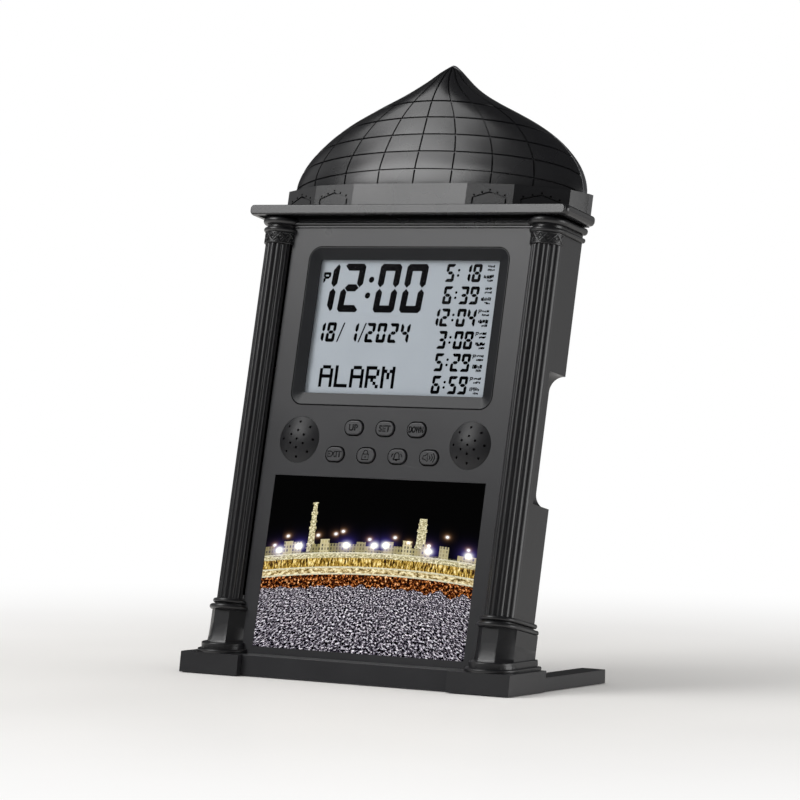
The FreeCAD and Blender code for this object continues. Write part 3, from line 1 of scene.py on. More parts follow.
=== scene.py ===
"""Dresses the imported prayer-time clock: finishes, fine relief, display, print and stage.

Lengths are in metres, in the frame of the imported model: +Z up, the front towards -Y.
Shapes on the leaning case are drawn in the case's own frame, as (x, depth, height):
depth runs back along the keys' travel and height runs up the panel.
"""

import json
import math
import random
from functools import partial

import bmesh
import bpy
from bpy.props import FloatProperty, FloatVectorProperty, PointerProperty
from mathutils import Matrix, Vector


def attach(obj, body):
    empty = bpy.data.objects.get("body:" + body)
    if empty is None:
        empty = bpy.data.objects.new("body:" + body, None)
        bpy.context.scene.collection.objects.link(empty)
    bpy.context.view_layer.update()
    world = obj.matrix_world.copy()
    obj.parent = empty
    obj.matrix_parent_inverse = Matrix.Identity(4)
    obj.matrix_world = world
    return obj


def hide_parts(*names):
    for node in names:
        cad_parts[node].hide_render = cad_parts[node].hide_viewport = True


bl_info = {
    "name": "Prayer-time clock",
    "version": (1, 0, 0),
    "blender": (4, 5, 0),
    "location": "View3D > Sidebar > Clock",
    "description": "Finishes, relief, display, print and stage of a leaning desk clock",
    "category": "Object",
}

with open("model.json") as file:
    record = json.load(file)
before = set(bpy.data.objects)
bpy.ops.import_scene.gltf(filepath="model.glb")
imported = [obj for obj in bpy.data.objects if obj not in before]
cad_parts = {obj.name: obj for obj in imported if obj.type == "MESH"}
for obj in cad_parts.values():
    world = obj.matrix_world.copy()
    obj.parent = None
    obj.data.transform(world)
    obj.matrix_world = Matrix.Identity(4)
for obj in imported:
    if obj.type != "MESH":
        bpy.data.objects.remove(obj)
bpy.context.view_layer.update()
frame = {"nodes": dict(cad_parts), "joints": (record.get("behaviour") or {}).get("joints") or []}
NODES = frame["nodes"]
MM = 0.001

# The case's frame: the keys travel along its depth, and its height runs up the panel.
INTO_CASE = Vector(next(j["axis"] for j in frame["joints"] if j["name"] == "set_key_press")).normalized()
UP_CASE = Vector((1, 0, 0)).cross(INTO_CASE)
CASE = Matrix(((1, 0, 0), INTO_CASE, UP_CASE)).transposed()
LEAN = math.atan2(UP_CASE.y, UP_CASE.z)


def case_box(node):
    """Lowest and highest corner of a CAD node in the case's frame."""
    upright = CASE.transposed()
    points = [upright @ vertex.co for vertex in NODES[node].data.vertices]
    return [Vector([end(point[axis] for point in points) for axis in range(3)]) for end in (min, max)]


def place_object(name, data):
    """New object in the scene."""
    thing = bpy.data.objects.new(name, data)
    bpy.context.scene.collection.objects.link(thing)
    return thing


# ---- colours and nodes ----
def linear(code):
    """sRGB hex to linear red, green, blue and an alpha of 1."""
    values = [int(code[start:start + 2], 16) / 255 for start in (0, 2, 4)]
    return [v / 12.92 if v <= 0.04045 else ((v + 0.055) / 1.055) ** 2.4 for v in values] + [1.0]


def tinted(colour, factor):
    """Linear colour made lighter or darker by a factor."""
    return [min(1.0, value * factor) for value in colour[:3]] + [1.0]


def add_node(tree, kind, inputs=None, stops=(), **settings):
    """Add a node. An input takes a value, a socket, or a node, whose first live output is used."""
    node = tree.nodes.new("ShaderNode" + kind)
    for key, value in settings.items():
        setattr(node, key, value)
    for key, value in (inputs or {}).items():
        if isinstance(value, bpy.types.Node):
            value = next(output for output in value.outputs if output.enabled)
        if isinstance(value, bpy.types.NodeSocket):
            tree.links.new(value, node.inputs[key])
        else:
            node.inputs[key].default_value = value
    for index, (place, colour) in enumerate(stops):
        band = node.color_ramp.elements
        element = band[index] if index < 2 else band.new(place)
        element.position = place
        element.color = colour
    return node


# ---- materials ----
GLOSS_DRIFT = 0.04          # how far the roughness drifts either way


def new_finish(name, colour, roughness, mottle=None, grain=None, **sockets):
    """Material whose colour and gloss drift slowly over patches, with a fine relief.

    Mottle is the drift's spread and the patches' size; grain is the relief's size, depth and
    strength. Underscores stand for the spaces in the names of the shader's sockets.
    """
    material = bpy.data.materials.new(name)
    material.use_nodes = True
    material.diffuse_color = colour
    tree = material.node_tree
    shader = tree.nodes["Principled BSDF"]
    for key, value in {"Base_Color": colour, "Roughness": roughness, **sockets}.items():
        shader.inputs[key.replace("_", " ")].default_value = value
    place = add_node(tree, "TexCoord").outputs["Object"]
    if mottle:
        spread, size = mottle
        patches = add_node(tree, "TexNoise", {"Vector": place, "Scale": 1.0 / size, "Detail": 3.0})
        drift = add_node(tree, "ValToRGB", {"Fac": patches},
                         ((0.3, tinted(colour, 1 - spread)), (0.7, tinted(colour, 1 + spread))))
        gloss = add_node(tree, "MapRange", {"Value": patches, "To Min": roughness - GLOSS_DRIFT,
                                            "To Max": roughness + GLOSS_DRIFT})
        tree.links.new(drift.outputs["Color"], shader.inputs["Base Color"])
        tree.links.new(gloss.outputs["Result"], shader.inputs["Roughness"])
    if grain:
        size, depth, strength = grain
        bumps = add_node(tree, "TexNoise", {"Vector": place, "Scale": 1.0 / size, "Detail": 2.0})
        relief = add_node(tree, "Bump", {"Height": bumps, "Strength": strength, "Distance": depth})
        tree.links.new(relief.outputs["Normal"], shader.inputs["Normal"])
    return material, tree, shader, place


# ABS from a lightly spark-eroded mould, whose even grain softens the highlights. The real grain
# is about 0.1 mm and would not show, so it is drawn at 0.5 mm.
ABS = {"mottle": (0.08, 22 * MM), "grain": (0.5 * MM, 0.012 * MM, 0.25), "IOR": 1.53}
# Silicone or rubber from a matt mould: no clear highlight and a powdery bloom
SILICONE = {"mottle": (0.1, 9 * MM), "grain": (0.6 * MM, 0.02 * MM, 0.3), "IOR": 1.41, "Sheen_Weight": 0.15}
# Plated or pressed metal, with faint handling marks that break the mirror up
METAL = {"mottle": (0.08, 4 * MM), "grain": (0.4 * MM, 0.004 * MM, 0.3), "Metallic": 1.0}

# Finishes without a pattern: colour, roughness, gleam and the rest. The gleam is the strength of
# the mirrored light. A colour is one of the settings or sRGB hex.
FINISHES = {
    # Moulded parts: a finer mould grain keeps more of the gleam, and a coarser one loses it.
    "moulded_panel_abs": ("panel_colour", 0.29, 0.33, ABS),
    "moulded_black_abs": ("black_colour", 0.27, 0.5, ABS),
    "moulded_bezel_abs": ("bezel_colour", 0.26, 0.2, ABS),
    "moulded_foot_abs": ("foot_colour", 0.34, 0.45, ABS),
    "moulded_grille_abs": ("grille_colour", 0.4, 0.28, ABS),
    "moulded_key_abs": ("key_colour", 0.29, 0.4, ABS),
    "moulded_column_abs": ("black_colour", 0.33, 0.5, ABS),
    # Flat near black that gives hardly any light back: painted shade in the gaps around the bezel and keys
    # and under the slab, and the dark signs on the keys and studs on the drum
    "matt_black_lacquer": ("dark_mark_and_shade_colour", 0.9, 0.02, ABS),
    # Dull cases of the chips, and unpolished ferrite
    "moulded_epoxy": ("1c1c1e", 0.55, 0.5, ABS),
    "sintered_ferrite": ("3a3a3c", 0.7, 0.5, ABS),
    "keypad_silicone": ("2a2a2c", 0.62, 0.5, SILICONE),
    "pad_rubber": ("202022", 0.62, 0.5, SILICONE),
    "zinc_plated_steel": ("b8b8b4", 0.32, 0.5, METAL),
    "pressed_steel": ("9a9a98", 0.4, 0.5, METAL),
    "nickel_plated_wire": ("c8c8c4", 0.18, 0.5, METAL),
    # Black felted paper of a small speaker cone, without gloss
    "pressed_paper": ("242426", 0.9, 0.2,
                      {"mottle": (0.2, 2 * MM), "grain": (0.3 * MM, 0.03 * MM, 0.5), "IOR": 1.5}),
    # Smooth, slightly waxy wire insulation
    "extruded_pvc": ("a03028", 0.38, 0.5,
                     {"mottle": (0.07, 6 * MM), "grain": (0.5 * MM, 0.004 * MM, 0.2), "IOR": 1.53,
                      "Subsurface_Weight": 0.05}),
    # Milky acrylic that spreads the light behind the display
    "opal_acrylic": ("e8eaec", 0.3, 0.5,
                     {"mottle": (0.03, 15 * MM), "grain": (1.0 * MM, 0.01 * MM, 0.3), "IOR": 1.49,
                      "Transmission_Weight": 0.4}),
    # Clear window over the display: hardly any colour, and an even reflection
    "cast_acrylic": ("1c1e22", 0.14, 0.5,
                     {"mottle": (0.02, 30 * MM), "grain": (18 * MM, 0.01 * MM, 0.05), "IOR": 1.49,
                      "Alpha": 0.02}),
    # Matt film over the display's silver reflector: pale, cool and nearly even
    "polariser_film": ("display_colour", 0.6, 0.05,
                       {"mottle": (0.03, 30 * MM), "grain": (0.4 * MM, 0.004 * MM, 0.15), "IOR": 1.49}),
    # Switched segments of the display: near black under the same matt film
    "driven_crystal": ("segment_colour", 0.6, 0.0, {"mottle": (0.2, 4 * MM), "IOR": 1.49}),
}


def solder_mask(name):
    """Green lacquer over the copper tracks of a glass-fibre board, which show as paler lines."""
    colour, copper = linear("1f4a2c"), linear("3b7a4a")
    track_pitch = 3.2 * MM
    material, tree, shader, place = new_finish(name, colour, 0.35, (0.05, 12 * MM),
                                               (0.8 * MM, 0.01 * MM, 0.2), IOR=1.55)
    tracks = add_node(tree, "TexBrick", {"Vector": place, "Scale": 1.0 / track_pitch, "Mortar Size": 0.06,
                                         "Color1": colour, "Color2": tinted(colour, 1.1), "Mortar": copper})
    tree.links.new(tracks.outputs["Color"], shader.inputs["Base Color"])
    return material


def cell_sleeve(name):
    """Shrunk plastic sleeve of an AA cell: glossy, with a band of another colour at both ends."""
    sleeve, band = linear("33404a"), linear("b08a3a")
    band_start = 14 * MM
    material, tree, shader, place = new_finish(name, sleeve, 0.22, (0.05, 8 * MM), IOR=1.52,
                                               Coat_Weight=0.3)
    across = add_node(tree, "SeparateXYZ", {"Vector": place}).outputs["X"]
    outer = add_node(tree, "Math", {0: across}, operation="ABSOLUTE")
    ends = add_node(tree, "Math", {0: outer, 1: band_start}, operation="GREATER_THAN")
    paint = add_node(tree, "Mix", {0: ends, 6: sleeve, 7: band}, data_type="RGBA")
    tree.links.new(paint.outputs[2], shader.inputs["Base Color"])
    return material


# The print's places, as shares of the card's width and height. The town, the quay and the water
# follow one level that bows, so that the shore runs round a bay.
BAY_MIDDLE = 0.56
BOW = 0.17
HORIZON = 0.78
PLOTS = 23.0                            # plots of houses along the shore
ROOF_LOW, ROOF_RISE = 0.585, 0.075      # the lowest roof, and how much higher the highest is
SHORE_LOW, SHORE_RISE = 0.345, 0.07     # the same of the water's torn edge
WALLS = ((0.0, "57553f"), (0.3, "c6bf9a"), (0.6, "8f8a68"), (1.0, "ded8bd"))
# Noise of each layer: grains across and up the card, detail, and stops of place and sRGB hex
GRAINS = {
    "pale": (90, 110, 3.0, ((0.38, "6e6648"), (0.52, "c2b98e"), (0.64, "f4efd4"))),
    "gold": (120, 22, 3.0, ((0.40, "140d04"), (0.48, "7a5a1e"), (0.56, "d6b452"), (0.66, "fdf6c4"))),
    "arches": (48, 60, 3.0, ((0.40, "4a3a1c"), (0.48, "b39a62"), (0.6, "efe6c0"))),
    "ember": (85, 60, 3.0, ((0.46, "0a0503"), (0.54, "5c2a10"), (0.60, "d87e34"), (0.67, "ffe6b0"))),
    "rail": (60, 300, 3.0, ((0.35, "8c8564"), (0.6, "ece7cc"))),
    "water": (55, 55, 5.0, ((0.46, "040305"), (0.51, "2c2833"), (0.55, "8e8697"), (0.59, "fcfaff"))),
}
# Top edge of each band below the houses: arcades in pale, gold and ember red with rails between
BANDS = ((0.578, "rail"), (0.570, "pale"), (0.545, "gold"), (0.495, "rail"), (0.486, "arches"),
         (0.458, "rail"), (0.449, "ember"))
# A lighthouse and a clock tower: middle, half width at the foot and at the tip, and top
TOWERS = ((0.215, 0.017, 0.009, 0.87), (0.735, 0.024, 0.017, 0.79))
TOWER_FOOT = 0.58
GALLERIES, GALLERY_SHARE, GALLERY_REACH = 34.0, 0.56, 0.004
# Two rows of lamps: count, lowest place, spread above it, size of the core, and tint of the glow
LAMPS = ((7.0, 0.6, 0.03, 0.0007, "6a5ad8"), (11.0, 0.62, 0.1, 0.00012, "d8a070"))


def offset_print(name):
    """Offset print under matt film: a harbour town at night, above its lights on the water."""
    low, high = case_box("picture_card")
    width, height = high.x - low.x, high.z - low.z
    night = linear("010101")
    material, tree, shader, place = new_finish(name, night, 0.6, grain=(0.5 * MM, 0.004 * MM, 0.15),
                                               IOR=1.5, Specular_IOR_Level=0.01)
    add = partial(add_node, tree)
    card = add("Mapping", {"Vector": place, "Location": CASE @ low, "Rotation": (-LEAN, 0.0, 0.0),
                           "Scale": (width, 1.0, height)}, vector_type="TEXTURE")
    split = add("SeparateXYZ", {"Vector": card})
    across, up = split.outputs["X"], split.outputs["Z"]
    aside = add("Math", {0: across, 1: BAY_MIDDLE}, operation="SUBTRACT")
    bow = add("Math", {0: aside, 1: aside}, operation="MULTIPLY")
    level = add("Math", {0: bow, 1: BOW, 2: up}, operation="MULTIPLY_ADD")
    spot = add("CombineXYZ", {"X": across, "Y": level})

    # Houses: each plot along the shore has its own roof height and wall colour.
    plots = add("Math", {0: across, 1: PLOTS}, operation="MULTIPLY")
    plot = add("Math", {0: plots}, operation="FLOOR")
    lot = add("TexWhiteNoise", {"W": plot}, noise_dimensions="1D")
    roof = add("Math", {0: lot, 1: ROOF_RISE, 2: ROOF_LOW}, operation="MULTIPLY_ADD")
    wall = add("ValToRGB", {"Fac": lot}, [(share, linear(code)) for share, code in WALLS])
    windows = add("TexBrick", {"Vector": spot, "Scale": 1.0, "Brick Width": 0.014, "Row Height": 0.021,
                               "Mortar Size": 0.0035, "Bias": -0.25, "Color1": linear("2e2a1c"),
                               "Color2": linear("fff2c0"), "Mortar": linear("e2dcc4")}, offset=0.0)
    houses = add("Mix", {0: 0.85, 6: wall, 7: windows.outputs["Color"]}, data_type="RGBA",
                 blend_type="MULTIPLY")

    # The water's ripples draw together towards the horizon, and its edge along the quay is torn.
    depth = add("Math", {0: HORIZON, 1: level}, operation="SUBTRACT")
    abeam = add("Math", {0: aside, 1: depth}, operation="DIVIDE")
    away = add("Math", {0: depth, 1: math.e}, operation="LOGARITHM")
    sea = add("CombineXYZ", {"X": abeam, "Y": away})
    torn = add("TexNoise", {"W": across, "Scale": 16.0}, noise_dimensions="1D")
    shore = add("Math", {0: torn, 1: SHORE_RISE, 2: SHORE_LOW}, operation="MULTIPLY_ADD")
    layers = {}
    for key, (columns, rows, detail, stops) in GRAINS.items():
        surface = sea if key == "water" else spot
        stretched = add("Mapping", {"Vector": surface, "Scale": (columns, rows, 1.0)})
        noise = add("TexNoise", {"Vector": stretched, "Scale": 1.0, "Detail": detail, "Roughness": 0.75})
        layers[key] = add("ValToRGB", {"Fac": noise}, [(share, linear(code)) for share, code in stops])

    # The towers narrow towards the top, with galleries around them.
    colour = night
    galleries = add("TexNoise", {"W": level, "Scale": GALLERIES}, noise_dimensions="1D")
    ledge = add("Math", {0: galleries, 1: GALLERY_SHARE}, operation="GREATER_THAN")
    for middle, foot, tip, top in TOWERS:
        taper = add("MapRange", {"Value": level, "From Min": TOWER_FOOT, "From Max": top, "To Min": foot,
                                 "To Max": tip})
        wide = add("Math", {0: ledge, 1: GALLERY_REACH, 2: taper}, operation="MULTIPLY_ADD")
        beside = add("Math", {0: across, 1: middle}, operation="SUBTRACT")
        apart = add("Math", {0: beside}, operation="ABSOLUTE")
        within = add("Math", {0: apart, 1: wide}, operation="LESS_THAN")
        under = add("Math", {0: level, 1: top}, operation="LESS_THAN")
        tower = add("Math", {0: within, 1: under}, operation="MULTIPLY")
        colour = add("Mix", {0: tower, 6: colour, 7: layers["pale"]}, data_type="RGBA")
    bands = [(edge, layers[key]) for edge, key in BANDS]
    for edge, layer in [(roof, houses)] + bands + [(shore, layers["water"])]:
        below = add("Math", {0: level, 1: edge}, operation="LESS_THAN")
        colour = add("Mix", {0: below, 6: colour, 7: layer}, data_type="RGBA")

    # Lamps over the roofs: a white core in a violet or a warm glow, at chance places.
    for count, line, lift, core, tint in LAMPS:
        lamps = add("TexVoronoi", {"W": across, "Scale": count, "Randomness": 0.8}, voronoi_dimensions="1D")
        chance = add("SeparateColor", {"Color": lamps.outputs["Color"]})
        middle = add("Math", {0: chance.outputs["Green"], 1: lift, 2: line}, operation="MULTIPLY_ADD")
        sideways = add("Math", {0: lamps.outputs["Distance"], 1: 0.7 * width / height / count},
                       operation="MULTIPLY")
        upward = add("Math", {0: level, 1: middle}, operation="SUBTRACT")
        offset = add("CombineXYZ", {"X": sideways, "Y": upward})
        square = add("VectorMath", {0: offset, 1: offset}, operation="DOT_PRODUCT")
        spread = add("Math", {0: square.outputs["Value"], 1: core}, operation="ADD")
        share = add("Math", {0: 1.2 * core, 1: spread}, operation="DIVIDE")
        glow = add("Math", {0: share, 1: 2.2}, operation="POWER", use_clamp=True)
        halo = add("ValToRGB", {"Fac": glow}, ((0.1, linear(tint)), (0.75, linear("ffffff"))))
        colour = add("Mix", {0: glow, 6: colour, 7: halo}, data_type="RGBA", blend_type="ADD")
    tree.links.new(colour.outputs[2], shader.inputs["Base Color"])
    return material


def pale_board(name, colour, radius):
    """Satin board under the clock, which fades into the white surround well away from it."""
    material, tree, shader, place = new_finish(name, colour, 0.4, (0.01, 120 * MM), Specular_IOR_Level=0.3)
    distance = add_node(tree, "VectorMath", {0: place}, operation="LENGTH")
    fade = add_node(tree, "MapRange", {"Value": distance.outputs["Value"], "From Min": FADE_START * radius,
                                       "From Max": FADE_END * radius}, interpolation_type="SMOOTHSTEP")
    path = add_node(tree, "LightPath")
    where = add_node(tree, "Math", {0: fade, 1: path.outputs["Is Camera Ray"]}, operation="MULTIPLY")
    surround = add_node(tree, "Emission", {"Strength": 1.0})
    blend = add_node(tree, "MixShader", {0: where, 1: shader, 2: surround})
    tree.links.new(blend.outputs["Shader"], tree.nodes["Material Output"].inputs["Surface"])
    return material


PATTERNED = {"solder_mask": solder_mask, "cell_sleeve": cell_sleeve, "offset_print": offset_print}
MADE = {}                   # the materials made so far, by name


def finish_of(name):
    """The named material, made when it is first asked for."""
    if name in MADE:
        return MADE[name]
    if name in PATTERNED:
        MADE[name] = PATTERNED[name](name)
    else:
        source, roughness, gleam, rest = FINISHES[name]
        colour = getattr(clock(), source) if source.endswith("_colour") else linear(source)
        MADE[name] = new_finish(name, colour, roughness, Specular_IOR_Level=gleam, **rest)[0]
    return MADE[name]


WELD_REACH = 0.002 * MM     # corners closer than this are one
SOFT_EDGE_ANGLE = 40        # edges sharper than this many degrees are rounded off


def dress(finish, *nodes, round_off=0.0):
    """Give CAD nodes a finish, and round their sharp edges off by a small radius."""
    for node in nodes:
        part = NODES[node]
        part.data.materials.clear()
        part.data.materials.append(finish_of(finish))
        if round_off:
            weld = part.modifiers.new("weld", "WELD")
            weld.merge_threshold = WELD_REACH
            edge = part.modifiers.new("soft_edges", "BEVEL")
            edge.width = round_off
            edge.segments = 2
            edge.limit_method = "ANGLE"
            edge.angle_limit = math.radians(SOFT_EDGE_ANGLE)
            edge.harden_normals = True


# ---- mesh making ----
MERGE_REACH = 0.0005 * MM   # points of one piece closer than this are one
PILLOW_INSET = 1.25         # a pillow's flat face is drawn in this much, as a share of its rounding


def rounded(low, high, radius, grow=0.0, steps=8):
    """Outline of (x, height) with round corners, between two corners, drawn out by an amount."""
    points = []
    for index, (x, z) in enumerate((high, (low[0], high[1]), low, (high[0], low[1]))):
        across = -1 if index in (0, 3) else 1
        upward = -1 if index in (0, 1) else 1
        for step in range(steps + 1):
            turn = math.pi / 2 * (index + step / steps)
            points.append((x + across * radius + (radius + grow) * math.cos(turn),
                           z + upward * radius + (radius + grow) * math.sin(turn)))
    return points


class Mesher:
    """Gathers points and faces of one piece in the case's frame."""

    def __init__(self):
        self.points = []
        self.faces = []

    def add(self, points, *faces):
        """Take in points, with faces that count from the first of them."""
        start = len(self.points)
        self.points += [Vector(point) for point in points]
        self.faces += [tuple(start + corner for corner in face) for face in faces]

    def prism(self, outline, front, back):
        """Plate with an outline of (x, height) between two depths."""
        count = len(outline)
        sides = [((index + 1) % count, index, count + index, count + (index + 1) % count)
                 for index in range(count)]
        self.add([(x, depth, z) for depth in (front, back) for x, z in outline],
                 range(count), range(2 * count - 1, count - 1, -1), *sides)

    def ring(self, outer, inner, front, back):
        """Flat ring between two outlines of (x, height) with as many points."""
        count = len(outer)
        rims = [[(x, depth, z) for x, z in outline]
                for depth in (front, back) for outline in (outer, inner)]
        faces = []
        for index in range(count):
            after = (index + 1) % count
            for a, b in ((0, 1), (1, 3), (3, 2), (2, 0)):
                faces.append((a * count + index, a * count + after, b * count + after, b * count + index))
        self.add([point for rim in rims for point in rim], *faces)

    def pillow(self, outline, front, back, round_off, steps=4):
        """Plate whose front edge is rounded; the outline is a function of how far it is drawn in."""
        levels = []
        for step in range(steps + 1):
            turn = math.pi / 2 * step / steps
            levels.append([(x, front + round_off * (1 - math.sin(turn)), z)
                           for x, z in outline(round_off * (1 - math.cos(turn)))])
        levels.insert(0, [(x, back, z) for x, _, z in levels[0]])
        levels.append([(x, front, z) for x, z in outline(round_off * PILLOW_INSET)])
        count = len(levels[0])
        last = (len(levels) - 1) * count
        faces = [(a, row + (a + 1 - row) % count, row + count + (a + 1 - row) % count, a + count)
                 for row in range(0, last, count) for a in range(row, row + count)]
        self.add([point for level in levels for point in level], *faces, range(last, last + count),
                 range(count - 1, -1, -1))

    def tube(self, path, radius, sides=6):
        """Round rib along a path of points, closed at both ends."""
        path = [Vector(point) for point in path]
        rings = []
        for index, point in enumerate(path):
            heading = path[min(index + 1, len(path) - 1)] - path[max(index - 1, 0)]
            turn = heading.to_track_quat("Z", "Y")
            for side in range(sides):
                angle = 2 * math.pi * side / sides
                rings.append(point + turn @ Vector((math.cos(angle), math.sin(angle), 0.0)) * radius)
        skin = []
        for ring in range(0, (len(path) - 1) * sides, sides):
            for side in range(sides):
                a, b = ring + side, ring + (side + 1) % sides
                skin.append((a, b, b + sides, a + sides))
        self.add(rings, *skin, range(sides - 1, -1, -1), range(len(rings) - sides, len(rings)))

    def build(self, name, finish, slot, body="case", replaces=(), sharp=35.0):
        """Make the piece, leaning with the case, with its finish, and let it ride on its body."""
        mesh = bpy.data.meshes.new(name)
        mesh.from_pydata([CASE @ point for point in self.points], [], self.faces)
        shape = bmesh.new()
        shape.from_mesh(mesh)
        bmesh.ops.remove_doubles(shape, verts=shape.verts, dist=MERGE_REACH)
        bmesh.ops.recalc_face_normals(shape, faces=shape.faces)
        shape.to_mesh(mesh)
        shape.free()
        mesh.materials.append(finish_of(finish))
        mesh.shade_smooth()
        mesh.set_sharp_from_angle(angle=math.radians(sharp))
        piece = place_object(name, mesh)
        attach(piece, body)
        if replaces:
            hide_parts(*replaces)


# ---- dome ----
# Rings of the dome: height above the drum, reach ahead of the case's back, share of the half width.
# Heights, reaches and the other plain numbers of the dome are in millimetres.
DOME_RINGS = ((-4.2, 18.3, 0.988), (1.8, 18.5, 1.0), (7.3, 18.2, 0.997), (13.8, 17.0, 0.954),
              (20.8, 15.7, 0.859), (27.8, 14.3, 0.7095), (33.8, 12.8, 0.517), (38.8, 10.8, 0.330),
              (43.8, 7.8, 0.180), (48.2, 4.4, 0.0826), (50.8, 1.4, 0.0168))
DOME_DIP = math.tan(math.radians(15.0))         # the rings dip towards the back
DOME_PARALLELS = (6.0, 13.2, 20.1, 27.1, 33.9)  # heights of the level grooves above the drum
PARALLEL_SAG = 2.0                          # drop of the level grooves towards the sides
DOME_MERIDIANS = 3                          # upright grooves on each side of the middle one
MERIDIAN_SHARE = 1 / 3.95                   # their spacing as a share of the half width
COVER_SLICE = 2.0                           # the back cover holds the last millimetres of the dome
FIELD_STEPS, TIP_STEPS = 6, 12              # steps across a field, and up the one at the tip
GROOVE_FLOOR = 0.45                         # half width of a groove's floor as a share of its own
GROOVE_LIMIT = 0.3 * MERIDIAN_SHARE         # the widest half groove, near the tip
FOOT_HIGHEST = 8.0                          # the dome meets the drum below this


def dome_profile(height):
    """Reach and share of the half width at a height, on a smooth curve through the rings."""
    rings = DOME_RINGS
    index = max(0, min(len(rings) - 2, sum(1 for ring in rings if ring[0] <= height) - 1))
    h0, h1 = rings[index][0], rings[index + 1][0]
    span = h1 - h0
    t = (height - h0) / span
    before, after = rings[max(0, index - 1)], rings[min(len(rings) - 1, index + 2)]
    values = []
    for column in (1, 2):
        p0, p1 = rings[index][column], rings[index + 1][column]
        m0 = (p1 - before[column]) / (h1 - before[0]) * span
        m1 = (after[column] - p0) / (after[0] - h0) * span
        values.append((2 * t ** 3 - 3 * t ** 2 + 1) * p0 + (t ** 3 - 2 * t ** 2 + t) * m0
                      + (-2 * t ** 3 + 3 * t ** 2) * p1 + (t ** 3 - t ** 2) * m1)
    return values


def crossing(test, low, high):
    """Place between low and high where a test that holds at low stops holding."""
    for _ in range(30):
        middle = (low + high) / 2
        low, high = (middle, high) if test(middle) else (low, middle)
    return high


class Dome:
    """The dome's outer surface by height in millimetres and place across, from -1 to 1."""

    def __init__(self):
        low, high = case_box("dome_shell")
        self.half = high.x
        self.base = low.z
        self.back = high.y + COVER_SLICE * MM
        self.tip = crossing(lambda height: dome_profile(height)[0] > COVER_SLICE,
                            DOME_RINGS[-3][0], DOME_RINGS[-1][0])

    def point(self, height, across):
        reach, share = dome_profile(height)
        end = math.sqrt(max(0.0, 1 - (COVER_SLICE / max(reach, COVER_SLICE)) ** 2))
        x = across * end
        ahead = reach * math.sqrt(max(0.0, 1 - x * x))
        rise = height - DOME_DIP * (reach - ahead)
        return Vector((x * self.half * share, self.back - ahead * MM, self.base + rise * MM))

    def foot(self, across):
        """Height at which the surface meets the drum's top, at a place across."""
        return crossing(lambda height: self.point(height, across).z < self.base, 0.0, FOOT_HIGHEST)


def groove_rows(tip, half_groove):
    """Rows of the dome's net: lower line, upper line, share between them, and whether it is sunk."""
    rows = []
    lines = (None,) + DOME_PARALLELS + (tip,)
    for lower, upper in zip(lines, lines[1:]):
        low = None if lower is None else lower + half_groove
        high = upper if upper == tip else upper - half_groove
        steps = TIP_STEPS if upper == tip else FIELD_STEPS
        rows += [(low, high, step / steps, False) for step in range(steps + 1)]
        if upper != tip:
            rows += [(upper + side * GROOVE_FLOOR * half_groove,) * 2 + (0.0, True) for side in (-1, 1)]
    return rows


def groove_columns():
    """Columns of the dome's net: the groove's number, and a place in it or a share of the field."""
    columns = []
    for number in range(-DOME_MERIDIANS, DOME_MERIDIANS + 1):
        first = 0 if number == -DOME_MERIDIANS else 1
        columns += [("field", number - 1, step / FIELD_STEPS) for step in range(first, FIELD_STEPS)]
        columns += [("groove", number, place) for place in (-1.0, -GROOVE_FLOOR, GROOVE_FLOOR, 1.0)]
    return columns + [("field", DOME_MERIDIANS, step / FIELD_STEPS) for step in range(1, FIELD_STEPS + 1)]


def place_across(column, height, half, half_groove):
    """Place of a column across the dome, from -1 to 1, with grooves of an even width."""
    kind, number, part = column
    mm_half = max(half / MM * dome_profile(height)[1], 0.5)
    spread = min(half_groove / mm_half, GROOVE_LIMIT)
    if kind == "groove":
        return number * MERIDIAN_SHARE + part * spread
    left = -1.0 if number < -DOME_MERIDIANS else number * MERIDIAN_SHARE + spread
    right = 1.0 if number == DOME_MERIDIANS else (number + 1) * MERIDIAN_SHARE - spread
    return left + (right - left) * part


